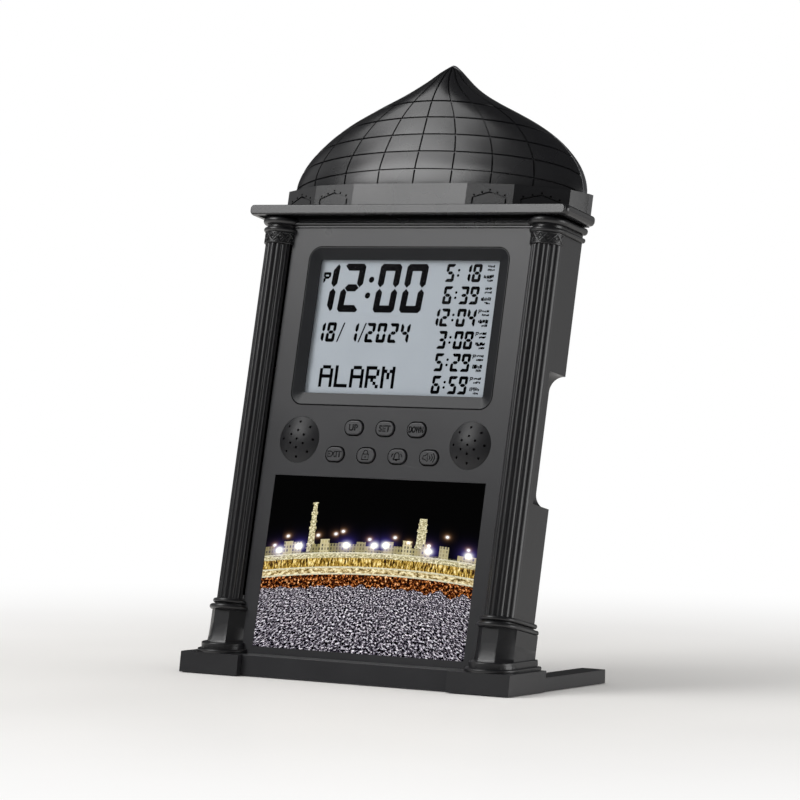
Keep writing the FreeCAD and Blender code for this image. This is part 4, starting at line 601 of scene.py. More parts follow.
def make_dome(settings):
    """Dome shell with a net of fine grooves between faintly cushioned fields."""
    dome = Dome()
    half_groove = settings.groove_width / MM / 2
    rows = groove_rows(dome.tip, half_groove)
    columns = groove_columns()
    count = len(columns)
    points = []
    lifts = []
    for low, high, share, sunk in rows:
        for column in columns:
            across = place_across(column, high, dome.half, half_groove)
            drop = PARALLEL_SAG * (1 - math.sqrt(1 - across * across))
            start = dome.foot(across) if low is None else low - drop
            stop = high if high == dome.tip else high - drop
            height = max(start + (stop - start) * share, dome.foot(across))
            points.append(dome.point(height, place_across(column, height, dome.half, half_groove)))
            kind, _, part = column
            in_field = kind == "field" and not sunk
            # The swell is 0 at a field's edges and 1 in its middle.
            swell = 4 * math.sqrt(part * (1 - part) * share * (1 - share)) if in_field else 0.0
            groove = sunk or (kind == "groove" and abs(part) < 1)
            lifts.append(-settings.groove_depth if groove else swell * settings.field_swell)
    lifts[-count:] = [0.0] * count
    skin = [(a, a + 1, a + 1 + count, a + count)
            for row in range(len(rows) - 1) for a in range(row * count, row * count + count - 1)]
    mesh = bpy.data.meshes.new("dome_skin")
    mesh.from_pydata(points, [], skin)
    normals = [vertex.normal.copy() for vertex in mesh.vertices]
    bpy.data.meshes.remove(mesh)
    if normals[count * FIELD_STEPS + count // 2].y > 0:
        normals = [-normal for normal in normals]
    # An inner skin and rims close the shell.
    inner = []
    for index, (point, normal) in enumerate(zip(points, normals)):
        moved = point - normal * settings.dome_wall
        moved.y = min(moved.y, dome.back - COVER_SLICE * MM)
        moved.z = max(moved.z, dome.base) if index >= count else dome.base
        inner.append(moved)
    size = len(points)
    lining = [tuple(size + corner for corner in reversed(face)) for face in skin]
    foot_rim = [(a + 1, a, size + a, size + a + 1) for a in range(count - 1)]
    side_rims = [(a, a + count, size + a + count, size + a)
                 for row in range(len(rows) - 1) for a in (row * count, row * count + count - 1)]
    maker = Mesher()
    maker.add([point + normal * lift for point, normal, lift in zip(points, normals, lifts)] + inner,
              *skin, *lining, *foot_rim, *side_rims)
    maker.build("grooved_dome", "moulded_black_abs", "black_abs", replaces=("dome_shell",), sharp=28)


# ---- drum ----
# Plan of the drum's front: distance in from its side, and back from its face, of each corner.
DRUM_FACE_HALF = 25.4 * MM
DRUM_CORNERS = ((23.1 * MM, 2.6 * MM), (4.2 * MM, 11.6 * MM), (1.0 * MM, 16.6 * MM))
DRUM_WALL = 2.0 * MM
GABLED_FACETS = (1, 2)      # the facets with a gable, counted from the middle one either way
GABLE_WIDTH = 0.705         # a gable's width as a share of its facet
GABLE_SIDE = 0.36           # height of its upright sides, and of its apex, as shares of the band
GABLE_APEX = 0.62
SIDE_GROWTH = 0.45          # rise of the sides and of the apex, as shares of the line's outset
APEX_GROWTH = 0.9
STUD_HALF = 0.4 * MM
STUD_GAP = 0.85 * MM        # from the gable's line up to the middle of a stud
STUD_SUNK = 0.05 * MM       # the stud's base lies this deep in the facet, and its tip stands out
STUD_PROUD = 0.3 * MM
STUD_PLACES = (-0.92, -0.46, 0.0, 0.46, 0.92)


class Facet:
    """One flat side of the drum: maps (along, up, in) to the case's frame."""

    def __init__(self, first, second, low, high):
        self.start = Vector((first[0], first[1], low))
        self.run = Vector((second[0] - first[0], second[1] - first[1], 0.0))
        self.length = self.run.length
        self.run.normalize()
        self.inward = Vector((-self.run.y, self.run.x, 0.0))
        self.height = high - low
        self.middle = self.length / 2
        self.half = self.length * GABLE_WIDTH / 2

    def at(self, along, up, inward=0.0):
        return self.start + self.run * along + Vector((0, 0, up)) + self.inward * inward

    def gable(self, outset):
        """Line of the pointed arch, drawn outside its middle line by an amount."""
        side = self.height * GABLE_SIDE + outset * SIDE_GROWTH
        apex = self.height * GABLE_APEX + outset * APEX_GROWTH
        wide = self.half + outset
        return [(self.middle - wide, 0.0), (self.middle - wide, side), (self.middle, apex),
                (self.middle + wide, side), (self.middle + wide, 0.0)]

    def engrave(self, maker, line, depth):
        """Front with a pointed arch cut into it as one open line."""
        outer, inner = self.gable(line / 2), self.gable(-line / 2)
        around = [(0.0, 0.0)] + outer + [(self.length, 0.0), (self.length, self.height), (0.0, self.height)]
        count = len(outer)
        strips = [(a, a + 1, a + count + 1, a + count) for a in range(count - 1)]
        maker.add([self.at(*point) for point in around], range(len(around)))
        maker.add([self.at(*point) for point in inner], range(count - 1, -1, -1))
        for rim, turn in ((outer, 1), (inner, -1)):
            wall = [self.at(*point) for point in rim] + [self.at(*point, depth) for point in rim]
            maker.add(wall, *[strip[::turn] for strip in strips])
        maker.add([self.at(*point, depth) for point in outer + inner], *strips)

    def stud(self, maker, share):
        """Small pyramid above the arch, at a share of the arch's half width from its middle."""
        side, apex = self.height * GABLE_SIDE, self.height * GABLE_APEX
        along = self.middle + self.half * share
        up = apex + (side - apex) * abs(share) + STUD_GAP
        corners = [self.at(along + dx * STUD_HALF, up + dz * STUD_HALF, STUD_SUNK)
                   for dx, dz in ((-1, -1), (1, -1), (1, 1), (-1, 1))]
        maker.add(corners + [self.at(along, up, -STUD_PROUD)],
                  (0, 1, 4), (1, 2, 4), (2, 3, 4), (3, 0, 4), (3, 2, 1, 0))


def drum_plan(low, high, inset):
    """Plan of the drum from its left back corner round the front to the right one."""
    half = [(DRUM_FACE_HALF, low.y)] + [(high.x - aside, low.y + back) for aside, back in DRUM_CORNERS]
    shrink = (high.x - inset) / high.x
    right = [(x * shrink, min(y + inset, high.y)) for x, y in half] + [(high.x * shrink, high.y)]
    return [(-x, y) for x, y in reversed(right)] + right


def make_drum(settings):
    """Many-sided drum under the dome, with gables engraved in two facets on each side."""
    low, high = case_box("drum_band")
    outer, inner = drum_plan(low, high, 0.0), drum_plan(low, high, DRUM_WALL)
    maker, studs = Mesher(), Mesher()
    middle = len(outer) // 2 - 1
    for index in range(len(outer) - 1):
        facet = Facet(outer[index], outer[index + 1], low.z, high.z)
        if abs(index - middle) in GABLED_FACETS:
            facet.engrave(maker, settings.gable_line, settings.gable_depth)
            for share in STUD_PLACES:
                facet.stud(studs, share)
        else:
            maker.add([facet.at(0, 0), facet.at(facet.length, 0), facet.at(facet.length, facet.height),
                       facet.at(0, facet.height)], range(4))
        ring = (outer[index], outer[index + 1], inner[index + 1], inner[index])
        maker.add([(x, y, z) for z in (low.z, high.z) for x, y in ring],
                  (4, 5, 6, 7), (3, 2, 1, 0), (2, 3, 7, 6))
    for end in (0, -1):
        maker.add([(*point, z) for point, z in ((outer[end], low.z), (inner[end], low.z),
                                               (inner[end], high.z), (outer[end], high.z))], range(4))
    maker.build("engraved_drum", "moulded_black_abs", "black_abs", replaces=("drum_band",), sharp=3)
    # The studs are drawn near black, so that they read as dark dots.
    studs.build("drum_studs", "matt_black_lacquer", "black_abs", sharp=20)


# ---- capitals and cornice ----
CAPITAL_RADIUS = 6.4 * MM
CAPITAL_AXIS_DEPTH = 1.3 * MM       # behind the panel's face
COLUMN_RADIUS = 6.1 * MM
CAPITAL_LOW = 10.3 * MM             # foot and top of the band, below the slab
CAPITAL_HIGH = 5.9 * MM
FRIEZE_HIGH = 3.5 * MM
RING_INSET = 0.3 * MM               # the rings and the lattice keep this far from the band's edges
LATTICE_INSET = 0.45 * MM
LATTICE_CELLS = 6
CELL_TURN = 180.0 / LATTICE_CELLS
RIB_STEPS = 6
LOZENGE_HALF = (0.24, 0.42)         # half width as a share of a cell, half height of the lattice's
LOZENGE_RIB = 0.8                   # radius of its rib as a share of the lattice's


def make_capitals(rib):
    """Lattice of crossing ribs with a lozenge in each gap, around each capital between two rings."""
    panel_low, panel_high = case_box("front_panel")
    slab_low = case_box("cornice")[0].z + FRIEZE_HIGH
    low, high = slab_low - CAPITAL_LOW, slab_low - CAPITAL_HIGH
    middle, rise = (low + high) / 2, (high - low) / 2 - LATTICE_INSET
    paths = [([(turn, height) for turn in range(0, 181, 10)], rib)
             for height in (low + RING_INSET, high - RING_INSET)]
    for cell in range(LATTICE_CELLS):
        first = CELL_TURN * cell
        for way in (-1, 1):
            paths.append(([(first + CELL_TURN * step / RIB_STEPS,
                            middle + way * rise * (2 * step / RIB_STEPS - 1))
                           for step in range(RIB_STEPS + 1)], rib))
        if cell:
            paths.append(([(first + CELL_TURN * LOZENGE_HALF[0] * math.cos(turn),
                            middle + rise * LOZENGE_HALF[1] * math.sin(turn))
                           for turn in [math.pi / 2 * corner for corner in range(5)]], rib * LOZENGE_RIB))
    for side, name in ((-1, "left"), (1, "right")):
        axis = (side * (panel_high.x + COLUMN_RADIUS), panel_low.y + CAPITAL_AXIS_DEPTH)
        maker = Mesher()
        for path, radius in paths:
            maker.tube([(axis[0] - CAPITAL_RADIUS * math.cos(math.radians(turn)),
                         axis[1] - CAPITAL_RADIUS * math.sin(math.radians(turn)), height)
                        for turn, height in path], radius)
        maker.build(name + "_capital_lattice", "moulded_black_abs", "black_abs", sharp=60)


SLAB_EDGE = 0.12 * MM               # the flat front leaves this much of the slab above and below
SLAB_TURN = 0.9 * MM                # and this much at its ends
SLAB_SOFT = 0.45 * MM               # rounding around the flat front
SLAB_PROUD = 0.03 * MM              # the flat front stands this far ahead of the slab
SLAB_FRONT_DEEP = 2 * MM
SLAB_CORNER_SHARE = 0.4             # its corners' radius as a share of its height
UNDERSIDE_FRONT = 1.9 * MM          # the painted shade under the slab starts this far behind the slab's front
UNDERSIDE_BACK = 1 * MM             # and ends this far ahead of its back
UNDERSIDE_END = 3.4 * MM            # and this far in from its ends
UNDERSIDE_LOW = 0.04 * MM           # from below the slab's underside up into the slab
UNDERSIDE_HIGH = 0.1 * MM
UNDERSIDE_CORNER = 0.05 * MM


def make_cornice():
    """Flat, softly edged front of the slab, and a near black sheet under it that paints the shade beneath
    the slab.
    """
    low, high = case_box("cornice")
    slab_low = low.z + FRIEZE_HIGH
    corner = (low.x + SLAB_TURN, slab_low + SLAB_EDGE)
    across = (high.x - SLAB_TURN, high.z - SLAB_EDGE)
    radius = (across[1] - corner[1]) * SLAB_CORNER_SHARE
    face = low.y - SLAB_PROUD
    maker = Mesher()
    maker.pillow(lambda inset: rounded(corner, across, radius, -inset), face, face + SLAB_FRONT_DEEP,
                 SLAB_SOFT)
    maker.build("slab_front", "moulded_black_abs", "black_abs", sharp=60)
    # A near black sheet just under the slab is painted shade.
    under = Mesher()
    sheet = rounded((low.x + UNDERSIDE_END, slab_low - UNDERSIDE_LOW),
                    (high.x - UNDERSIDE_END, slab_low + UNDERSIDE_HIGH), UNDERSIDE_CORNER, steps=2)
    under.prism(sheet, low.y + UNDERSIDE_FRONT, high.y - UNDERSIDE_BACK)
    under.build("slab_underside", "matt_black_lacquer", "black_abs", sharp=30)


# ---- display ----
SEGMENTS = {"0": "abcdef", "1": "bc", "2": "abged", "3": "abgcd", "4": "fgbc", "5": "afgcd", "6": "afgedc",
            "8": "abcdefg", "9": "abcdfg", "P": "abefg"}
DOT_LETTERS = {"A": (14, 17, 17, 31, 17, 17, 17), "L": (16, 16, 16, 16, 16, 16, 31),
               "R": (30, 17, 17, 30, 20, 18, 17), "M": (17, 27, 21, 21, 17, 17, 17)}
ITALIC = math.tan(math.radians(4.6))
INK_PROUD = 0.05 * MM
FACE_BEHIND = 0.15 * MM                     # the face lies this far behind the glass's front
WINDOW_BEHIND = 0.02 * MM
# Places on the display in mm from its lower left corner: left edge at half height, and foot.
# A size is the width, height and stroke of a digit.
CLOCK_SIZE = (9.6, 18.8, 2.75)
CLOCK_DIGITS = (("1", -2.1), ("2", 9.7), ("0", 26.0), ("0", 38.0))
CLOCK_FOOT = 31.6
CLOCK_DOTS = ((23.1, 44.2), (22.2, 38.1))
CLOCK_DOT = 1.2
DAY_MARK = (1.0, 42.8, (3.3, 4.2, 1.0))     # left, foot and size of the P
DATE_SIZE = (4.1, 7.6, 1.32)
DATE_DIGITS = (("1", 0.7), ("8", 5.7), ("1", 15.9), ("2", 23.6), ("0", 28.7), ("2", 34.0), ("4", 39.2))
DATE_SLASHES = (10.6, 20.4)
SLASH = ((0, 0), (0.6, 0), (3.2, 7.5), (2.6, 7.5))
DATE_FOOT = 20.0
WORD = "ALARM"
WORD_LEFT, WORD_FOOT, WORD_PITCH, WORD_DOT, WORD_BLOCK = 5.1, 2.6, 7.03, 1.18, 1.3
TIMES = (" 518", " 639", "1204", " 308", " 529", " 659")
TIME_SIZE = (3.85, 6.9, 1.22)
TIME_LEFTS = (51.8, 56.2, 63.4, 67.9)
TIME_DOTS = (61.7, (2.5, 4.5))
TIME_DOT = 0.52
TIME_MIDDLE = 3.4                           # the slant leaves a dot at this height where it is
TIME_FOOT, TIME_PITCH = 43.6, 8.5
TIME_P = (72.6, 5.0, (1.4, 1.65, 0.36))     # left, height above the foot, and size
TIME_P_FIRST = 2                            # the first row with it, counted from 0
# Small marks beside a time: left, foot, height and number; their pitch; chance widths and heights
TIME_MARKS = ((74.3, 5.6, 1.0, 5), (74.3, 4.2, 0.9, 5), (73.0, 1.3, 1.6, 7), (74.7, 0.15, 0.95, 4))
MARK_PITCH, MARK_WIDE, MARK_HIGH = 0.62, (0.4, 0.62), (0.5, 1.0)


def segment_outlines(width, height, stroke, gap):
    """Outlines of the seven bars of a digit, by letter."""
    middle = height / 2
    nib = stroke * 0.32
    bars = {
        "a": [(gap + nib, height), (gap, height - nib), (gap + stroke - nib, height - stroke),
              (width - gap - stroke + nib, height - stroke), (width - gap, height - nib),
              (width - gap - nib, height)],
        "g": [(stroke / 2 + gap, middle), (stroke + gap, middle - stroke / 2),
              (width - stroke - gap, middle - stroke / 2), (width - stroke / 2 - gap, middle),
              (width - stroke - gap, middle + stroke / 2), (stroke + gap, middle + stroke / 2)],
        "f": [(0, height - gap - nib), (0, middle + gap + stroke / 2), (stroke / 2, middle + gap),
              (stroke, middle + stroke / 2 + gap), (stroke, height - stroke - gap + nib / 2),
              (nib, height - gap)],
    }
    for low, high in (("d", "a"), ("e", "f")):
        bars[low] = [(x, height - z) for x, z in reversed(bars[high])]
    for right, left in (("b", "f"), ("c", "e")):
        bars[right] = [(width - x, z) for x, z in reversed(bars[left])]
    return bars


class DisplayWriter:
    """Draws bars, dots and marks as thin plates on the display's face."""

    def __init__(self, corner, front):
        self.corner = corner
        self.front = front
        self.maker = Mesher()

    def shape(self, left, foot, outline, italic=ITALIC, middle=0.0):
        points = [(self.corner.x + (left + x + (z - middle) * italic) * MM, self.corner.z + (foot + z) * MM)
                  for x, z in outline]
        self.maker.prism(points, self.front, self.front + INK_PROUD)

    def digit(self, character, left, foot, size, gap=0.14, italic=ITALIC):
        width, height, stroke = size
        bars = segment_outlines(width, height, stroke, gap * stroke ** 0.5)
        for bar in SEGMENTS.get(character, ""):
            self.shape(left, foot, bars[bar], italic, height / 2)

    def dot(self, left, foot, radius):
        turns = [math.radians(turn) for turn in range(0, 360, 24)]
        self.shape(left, foot, [(radius * math.cos(turn), radius * math.sin(turn)) for turn in turns])

    def block(self, left, foot, width, height, italic=0.0):
        self.shape(left, foot, [(0, 0), (width, 0), (width, height), (0, height)], italic)


def write_display(writer):
    """Time of day, date, a word and six more times with small marks beside them."""
    for character, left in CLOCK_DIGITS:
        writer.digit(character, left, CLOCK_FOOT, CLOCK_SIZE)
    for left, foot in CLOCK_DOTS:
        writer.dot(left, foot, CLOCK_DOT)
    writer.digit("P", *DAY_MARK, 0.0, 0.0)
    for character, left in DATE_DIGITS:
        writer.digit(character, left, DATE_FOOT, DATE_SIZE)
    for left in DATE_SLASHES:
        writer.shape(left, DATE_FOOT, SLASH, 0.0)
    for place, letter in enumerate(WORD):
        for row, bits in enumerate(DOT_LETTERS[letter]):
            for column in range(5):
                if bits >> (4 - column) & 1:
                    writer.block(WORD_LEFT + WORD_PITCH * place + WORD_DOT * column,
                                 WORD_FOOT + WORD_DOT * (6 - row), WORD_BLOCK, WORD_BLOCK)
    chance = random.Random(7)
    dots_left, dots_up = TIME_DOTS
    p_left, p_up, p_size = TIME_P
    for row, text in enumerate(TIMES):
        foot = TIME_FOOT - TIME_PITCH * row
        for character, left in zip(text, TIME_LEFTS):
            writer.digit(character, left, foot, TIME_SIZE)
        for up in dots_up:
            writer.dot(dots_left + (up - TIME_MIDDLE) * ITALIC, foot + up, TIME_DOT)
        if row >= TIME_P_FIRST:
            writer.digit("P", p_left, foot + p_up, p_size, 0.0, 0.0)
        for left, up, tall, count in TIME_MARKS:
            for index in range(count):
                wide, high = chance.uniform(*MARK_WIDE), tall * chance.uniform(*MARK_HIGH)
                lift = chance.uniform(0.0, tall - high)
                writer.block(left + MARK_PITCH * index, foot + up + lift, wide, high, ITALIC)


# Painted shade in the gaps, drawn as a near black ring on the panel's face: width of the flange
# behind the panel, corner radius, and start and stop of the ring outwards from the piece's visible edge
BEZEL_GAP_SHADE = (2.0 * MM, 5.0 * MM, -0.05 * MM, 0.3 * MM)
KEY_GAP_SHADE = (0.8 * MM, 9.0 * MM, 0.1 * MM, 0.5 * MM)
SHADE_RING_PROUD = 0.03 * MM
SHADE_RING_SUNK = 0.05 * MM


def make_gap_shade(name, nodes, flange, radius, start, stop):
    """Painted shade in the gaps in the panel's face around pieces that a flange holds behind it, as a near
    black ring.
    """
    face = case_box("front_panel")[0].y
    maker = Mesher()
    for node in nodes:
        low, high = case_box(node)
        corners = ((low.x + flange, low.z + flange), (high.x - flange, high.z - flange))
        turn = min(radius, (high.z - low.z) / 2 - flange)
        maker.ring(rounded(*corners, turn, stop), rounded(*corners, turn, start), face - SHADE_RING_PROUD,
                   face + SHADE_RING_SUNK)
    maker.build(name, "matt_black_lacquer", "charcoal_abs", sharp=20)


def make_display(border):
    """Face of the display with its written segments, and the clear window over it."""
    low, high = case_box("lcd_glass")
    window_low, window_high = case_box("lcd_window")
    face_front = low.y + FACE_BEHIND
    corners = [(low.x, low.z), (high.x, low.z), (high.x, high.z), (low.x, high.z)]
    face = Mesher()
    face.prism(corners, face_front, high.y)
    face.build("display_face", "polariser_film", "lcd_face", replaces=("lcd_glass",))
    writer = DisplayWriter(low + Vector((border, 0.0, border)), face_front - INK_PROUD)
    write_display(writer)
    writer.maker.build("display_segments", "driven_crystal", "lcd_face")
    window = Mesher()
    window.prism(corners, window_low.y + WINDOW_BEHIND, window_high.y)
    window.build("clear_window", "cast_acrylic", "clear_acrylic", replaces=("lcd_window",))


# ---- key legends ----
WORDS = {"up_key": "UP", "set_key": "SET", "down_key": "DOWN", "exit_key": "EXIT"}
# Signs on the other keys, drawn as lines in units of ICON_UNIT
ICONS = {
    "lock_key": (((-1.0, -1.2), (1.0, -1.2), (1.0, 0.3), (-1.0, 0.3), (-1.0, -1.2)),
                 ((-0.65, 0.3), (-0.65, 0.9), (-0.3, 1.35), (0.3, 1.35), (0.65, 0.9), (0.65, 0.3)),
                 ((0.0, -0.2), (0.0, -0.75))),
    "alarm_key": (((-1.1, -0.8), (-0.8, -0.4), (-0.7, 0.5), (-0.3, 1.0), (0.3, 1.0), (0.7, 0.5),
                   (0.8, -0.4), (1.1, -0.8), (-1.1, -0.8)), ((-0.3, -0.95), (0.0, -1.2), (0.3, -0.95)),
                  ((1.2, 0.7), (1.6, 0.2), (1.6, -0.2)), ((-1.2, 0.7), (-1.6, 0.2), (-1.6, -0.2))),
    "volume_key": (((-1.7, -0.45), (-1.1, -0.45), (-0.3, -1.1), (-0.3, 1.1), (-1.1, 0.45), (-1.7, 0.45),
                    (-1.7, -0.45)), ((0.3, -0.5), (0.5, 0.0), (0.3, 0.5)),
                   ((0.9, -0.9), (1.25, 0.0), (0.9, 0.9)), ((1.5, -1.2), (1.95, 0.0), (1.5, 1.2))),
}
ICON_UNIT = 1.4 * MM
ICON_SHARE = 1.6            # width of a sign's lines as a share of the words'
TYPE_SIZE = 2.4 * MM * 1.4  # type size whose capitals are 2.4 mm tall
WORD_WIDEST = 6.2 * MM
KEY_NODES = tuple(WORDS) + tuple(ICONS)


def word_paths(word):
    """Closed outlines of a word's letters, centred and squeezed to fit a key."""
    curve = bpy.data.curves.new("word", "FONT")
    curve.body = word
    curve.size = TYPE_SIZE
    curve.fill_mode = "NONE"
    curve.resolution_u = 3
    holder = place_object("word", curve)
    outline = bpy.data.meshes.new_from_object(holder.evaluated_get(bpy.context.evaluated_depsgraph_get()))
    following = {}
    for edge in outline.edges:
        for a, b in (edge.vertices, reversed(edge.vertices)):
            following.setdefault(a, []).append(b)
    points = [vertex.co.copy() for vertex in outline.vertices]
    bpy.data.objects.remove(holder)
    bpy.data.curves.remove(curve)
    bpy.data.meshes.remove(outline)
    xs, ys = [p.x for p in points], [p.y for p in points]
    squeeze = min(1.0, WORD_WIDEST / (max(xs) - min(xs)))
    mid_x, mid_y = (max(xs) + min(xs)) / 2, (max(ys) + min(ys)) / 2
    paths = []
    left = set(following)
    while left:
        path = [min(left)]
        while path[-1] is not None:
            left.discard(path[-1])
            path.append(next((other for other in following[path[-1]] if other in left), None))
        path[-1] = path[0]
        paths.append([((points[i].x - mid_x) * squeeze, points[i].y - mid_y) for i in path])
    return paths


def make_legends(line):
    """Outlined words and signs moulded on the key tops; each rides on its key."""
    for key in KEY_NODES:
        low, high = case_box(key)
        middle = (low + high) / 2
        if key in WORDS:
            radius = line / 2
            paths = word_paths(WORDS[key])
        else:
            radius = line * ICON_SHARE / 2
            paths = [[(x * ICON_UNIT, z * ICON_UNIT) for x, z in path] for path in ICONS[key]]
        maker = Mesher()
        for path in paths:
            maker.tube([(middle.x + x, low.y, middle.z + z) for x, z in path], radius, sides=5)
        maker.build(key + "_legend", "matt_black_lacquer", "key_plastic", body=key, sharp=60)


# ---- stage ----
BOARD_RADIUS, BOARD_RIM = 1.6, 48
FADE_START, FADE_END = 0.06, 0.32           # the board fades to white between these shares of its radius
LAMP_DISTANCE = 1.4
LAMP_TARGET = (0.0, 0.0, 0.12)
# Softboxes: turn from the clock's front towards its right side and rise, in degrees; width, height;
# the power's setting, and a share of it
SOFTBOXES = (("key_softbox", -39, 34.5, 0.72, 0.44, "key_power", 1.0),
             ("top_softbox", -56, 54, 0.8, 0.55, "top_power", 1.0),
             ("left_softbox", -88, 22, 0.5, 0.7, "side_power", 0.08),
             ("right_softbox", 99, 12, 0.8, 0.6, "side_power", 1.0))
BACKDROP_WAY = (0.56, 0.83, 0.0)            # where the pale backdrop stands, behind the clock
BACKDROP_EDGE, BACKDROP_CORE = 0.7, 0.97    # cosines of the angle from it where it starts and is full


def aim(thing, target, roll=0.0):
    """Point a lamp or camera at a target."""
    turn = (Vector(target) - thing.location).to_track_quat("-Z", "Y").to_matrix()
    thing.rotation_euler = (turn @ Matrix.Rotation(roll, 3, "Z")).to_euler()


def way_out(turn, rise):
    """Direction out from the clock, turned from its front towards its right side and raised."""
    return Vector((math.sin(turn) * math.cos(rise), -math.cos(turn) * math.cos(rise), math.sin(rise)))


def add_softbox(name, turn, rise, width, height, power):
    """Rectangular soft lamp that looks at the clock."""
    lamp = bpy.data.lights.new(name, "AREA")
    lamp.shape = "RECTANGLE"
    lamp.size = width
    lamp.size_y = height
    lamp.energy = power
    holder = place_object(name, lamp)
    holder.location = way_out(math.radians(turn), math.radians(rise)) * LAMP_DISTANCE
    aim(holder, LAMP_TARGET)


def make_world(settings):
    """White surround for the camera and an even fill for matt surfaces; gloss mirrors a dim room.

    A pale backdrop stands in that room behind the clock, towards its right side.
    """
    world = bpy.data.worlds.new("soft_surround")
    world.use_nodes = True
    bpy.context.scene.world = world
    tree = world.node_tree
    path = add_node(tree, "LightPath").outputs
    way = add_node(tree, "TexCoord").outputs["Generated"]
    behind = add_node(tree, "VectorMath", {0: way, 1: BACKDROP_WAY}, operation="DOT_PRODUCT")
    backdrop = add_node(tree, "MapRange",
                        {"Value": behind.outputs["Value"], "From Min": BACKDROP_EDGE,
                         "From Max": BACKDROP_CORE, "To Min": settings.room, "To Max": settings.backdrop},
                        interpolation_type="SMOOTHSTEP")
    mirrored = add_node(tree, "Math", {0: path["Is Glossy Ray"], 1: path["Is Transmission Ray"]},
                        operation="MAXIMUM")
    indirect = add_node(tree, "Mix", {0: mirrored, 2: settings.fill, 3: backdrop})
    level = add_node(tree, "Mix", {0: path["Is Camera Ray"], 2: indirect, 3: 1.0})
    tree.links.new(level.outputs[0], tree.nodes["Background"].inputs["Strength"])
    tree.nodes["Background"].inputs["Color"].default_value = (1, 1, 1, 1)


def make_stage(settings):
    """Round board, surround, softboxes and the camera."""
    turns = [2 * math.pi * index / BOARD_RIM for index in range(BOARD_RIM)]
    rim = [(BOARD_RADIUS * math.cos(turn), BOARD_RADIUS * math.sin(turn), 0.0) for turn in turns]
    mesh = bpy.data.meshes.new("floor")
    mesh.from_pydata(rim, [], [range(BOARD_RIM)])
    mesh.materials.append(pale_board("pale_board", settings.floor_colour, BOARD_RADIUS))
    floor = place_object("floor", mesh)
    make_world(settings)
    for name, turn, rise, width, height, power, share in SOFTBOXES:
        add_softbox(name, turn, rise, width, height, share * getattr(settings, power))
    view = bpy.data.cameras.new("front_right_view")
    view.sensor_width = 36.0
    view.lens = settings.lens
    camera = place_object("front_right_view", view)
    back = way_out(settings.azimuth, settings.elevation)
    camera.location = Vector(settings.aim) + back * settings.distance
    aim(camera, settings.aim, settings.roll)
    bpy.context.scene.camera = camera
    bpy.context.scene.view_settings.view_transform = "Standard"


# ---- add-on ----
def colour_setting(name, description, code):
    """Colour that a user can change, given as sRGB hex."""
    return FloatVectorProperty(name=name, description=description, subtype="COLOR", size=4, min=0.0,
                               max=1.0, default=linear(code))


def size_setting(name, description, size, least, most):
    """Length that a user can change, with its bounds, given in millimetres."""
    return FloatProperty(name=name, description=description, default=size * MM, min=least * MM,
                         max=most * MM, unit="LENGTH")


def angle_setting(name, description, degrees):
    """Angle that a user can change, given in degrees."""
    return FloatProperty(name=name, description=description, default=math.radians(degrees),
                         subtype="ANGLE")


def level_setting(name, description, level, unit="NONE"):
    """Strength of a light that a user can change."""
    return FloatProperty(name=name, description=description, default=level, unit=unit)


class ClockSettings(bpy.types.PropertyGroup):
    """Colours and relief sizes of the clock."""

    panel_colour: colour_setting("Panel", "Panel, plinth strip and back", "272729")
    black_colour: colour_setting("Black", "Columns, dome and cornice", "131315")
    bezel_colour: colour_setting("Bezel", "Frame around the display", "1e1f21")
    foot_colour: colour_setting("Feet", "Feet of the case", "202022")
    grille_colour: colour_setting("Grilles", "Speaker grilles", "19191b")
    key_colour: colour_setting("Keys", "Key tops", "2c2c2e")
    # Near black of the key signs and drum studs, and painted shade in the gaps and under the slab
    dark_mark_and_shade_colour: colour_setting("Lacquer", "Signs on the keys, and recesses", "030303")
    display_colour: colour_setting("Display", "Face of the display", "a0a7ae")
    segment_colour: colour_setting("Segments", "Dark segments of the display", "020203")
    groove_width: size_setting("Dome groove width", "Width of the grooves on the dome", 0.7, 0.2, 2)
    groove_depth: size_setting("Dome groove depth", "Depth of the grooves on the dome", 0.6, 0.1, 1.5)
    field_swell: size_setting("Field swell", "Rise of the fields between the grooves", 0.05, 0, 1)
    dome_wall: size_setting("Dome wall", "Thickness of the dome's shell", 2.0, 0.8, 4)
    gable_line: size_setting("Gable line", "Width of the engraved gables", 0.7, 0.1, 1)
    gable_depth: size_setting("Gable depth", "Depth of the engraved gables", 1.0, 0.1, 1.5)
    lattice_rib: size_setting("Lattice rib", "Radius of the ribs on the capitals", 0.34, 0.1, 0.6)
    legend_line: size_setting("Legend line", "Width of the lines on the keys", 0.22, 0.1, 0.5)
    display_border: size_setting("Display border", "Glass hidden behind the bezel", 3.3, 0, 6)
    edge_round: size_setting("Edge radius", "Rounding of the moulded edges", 0.15, 0.05, 0.5)


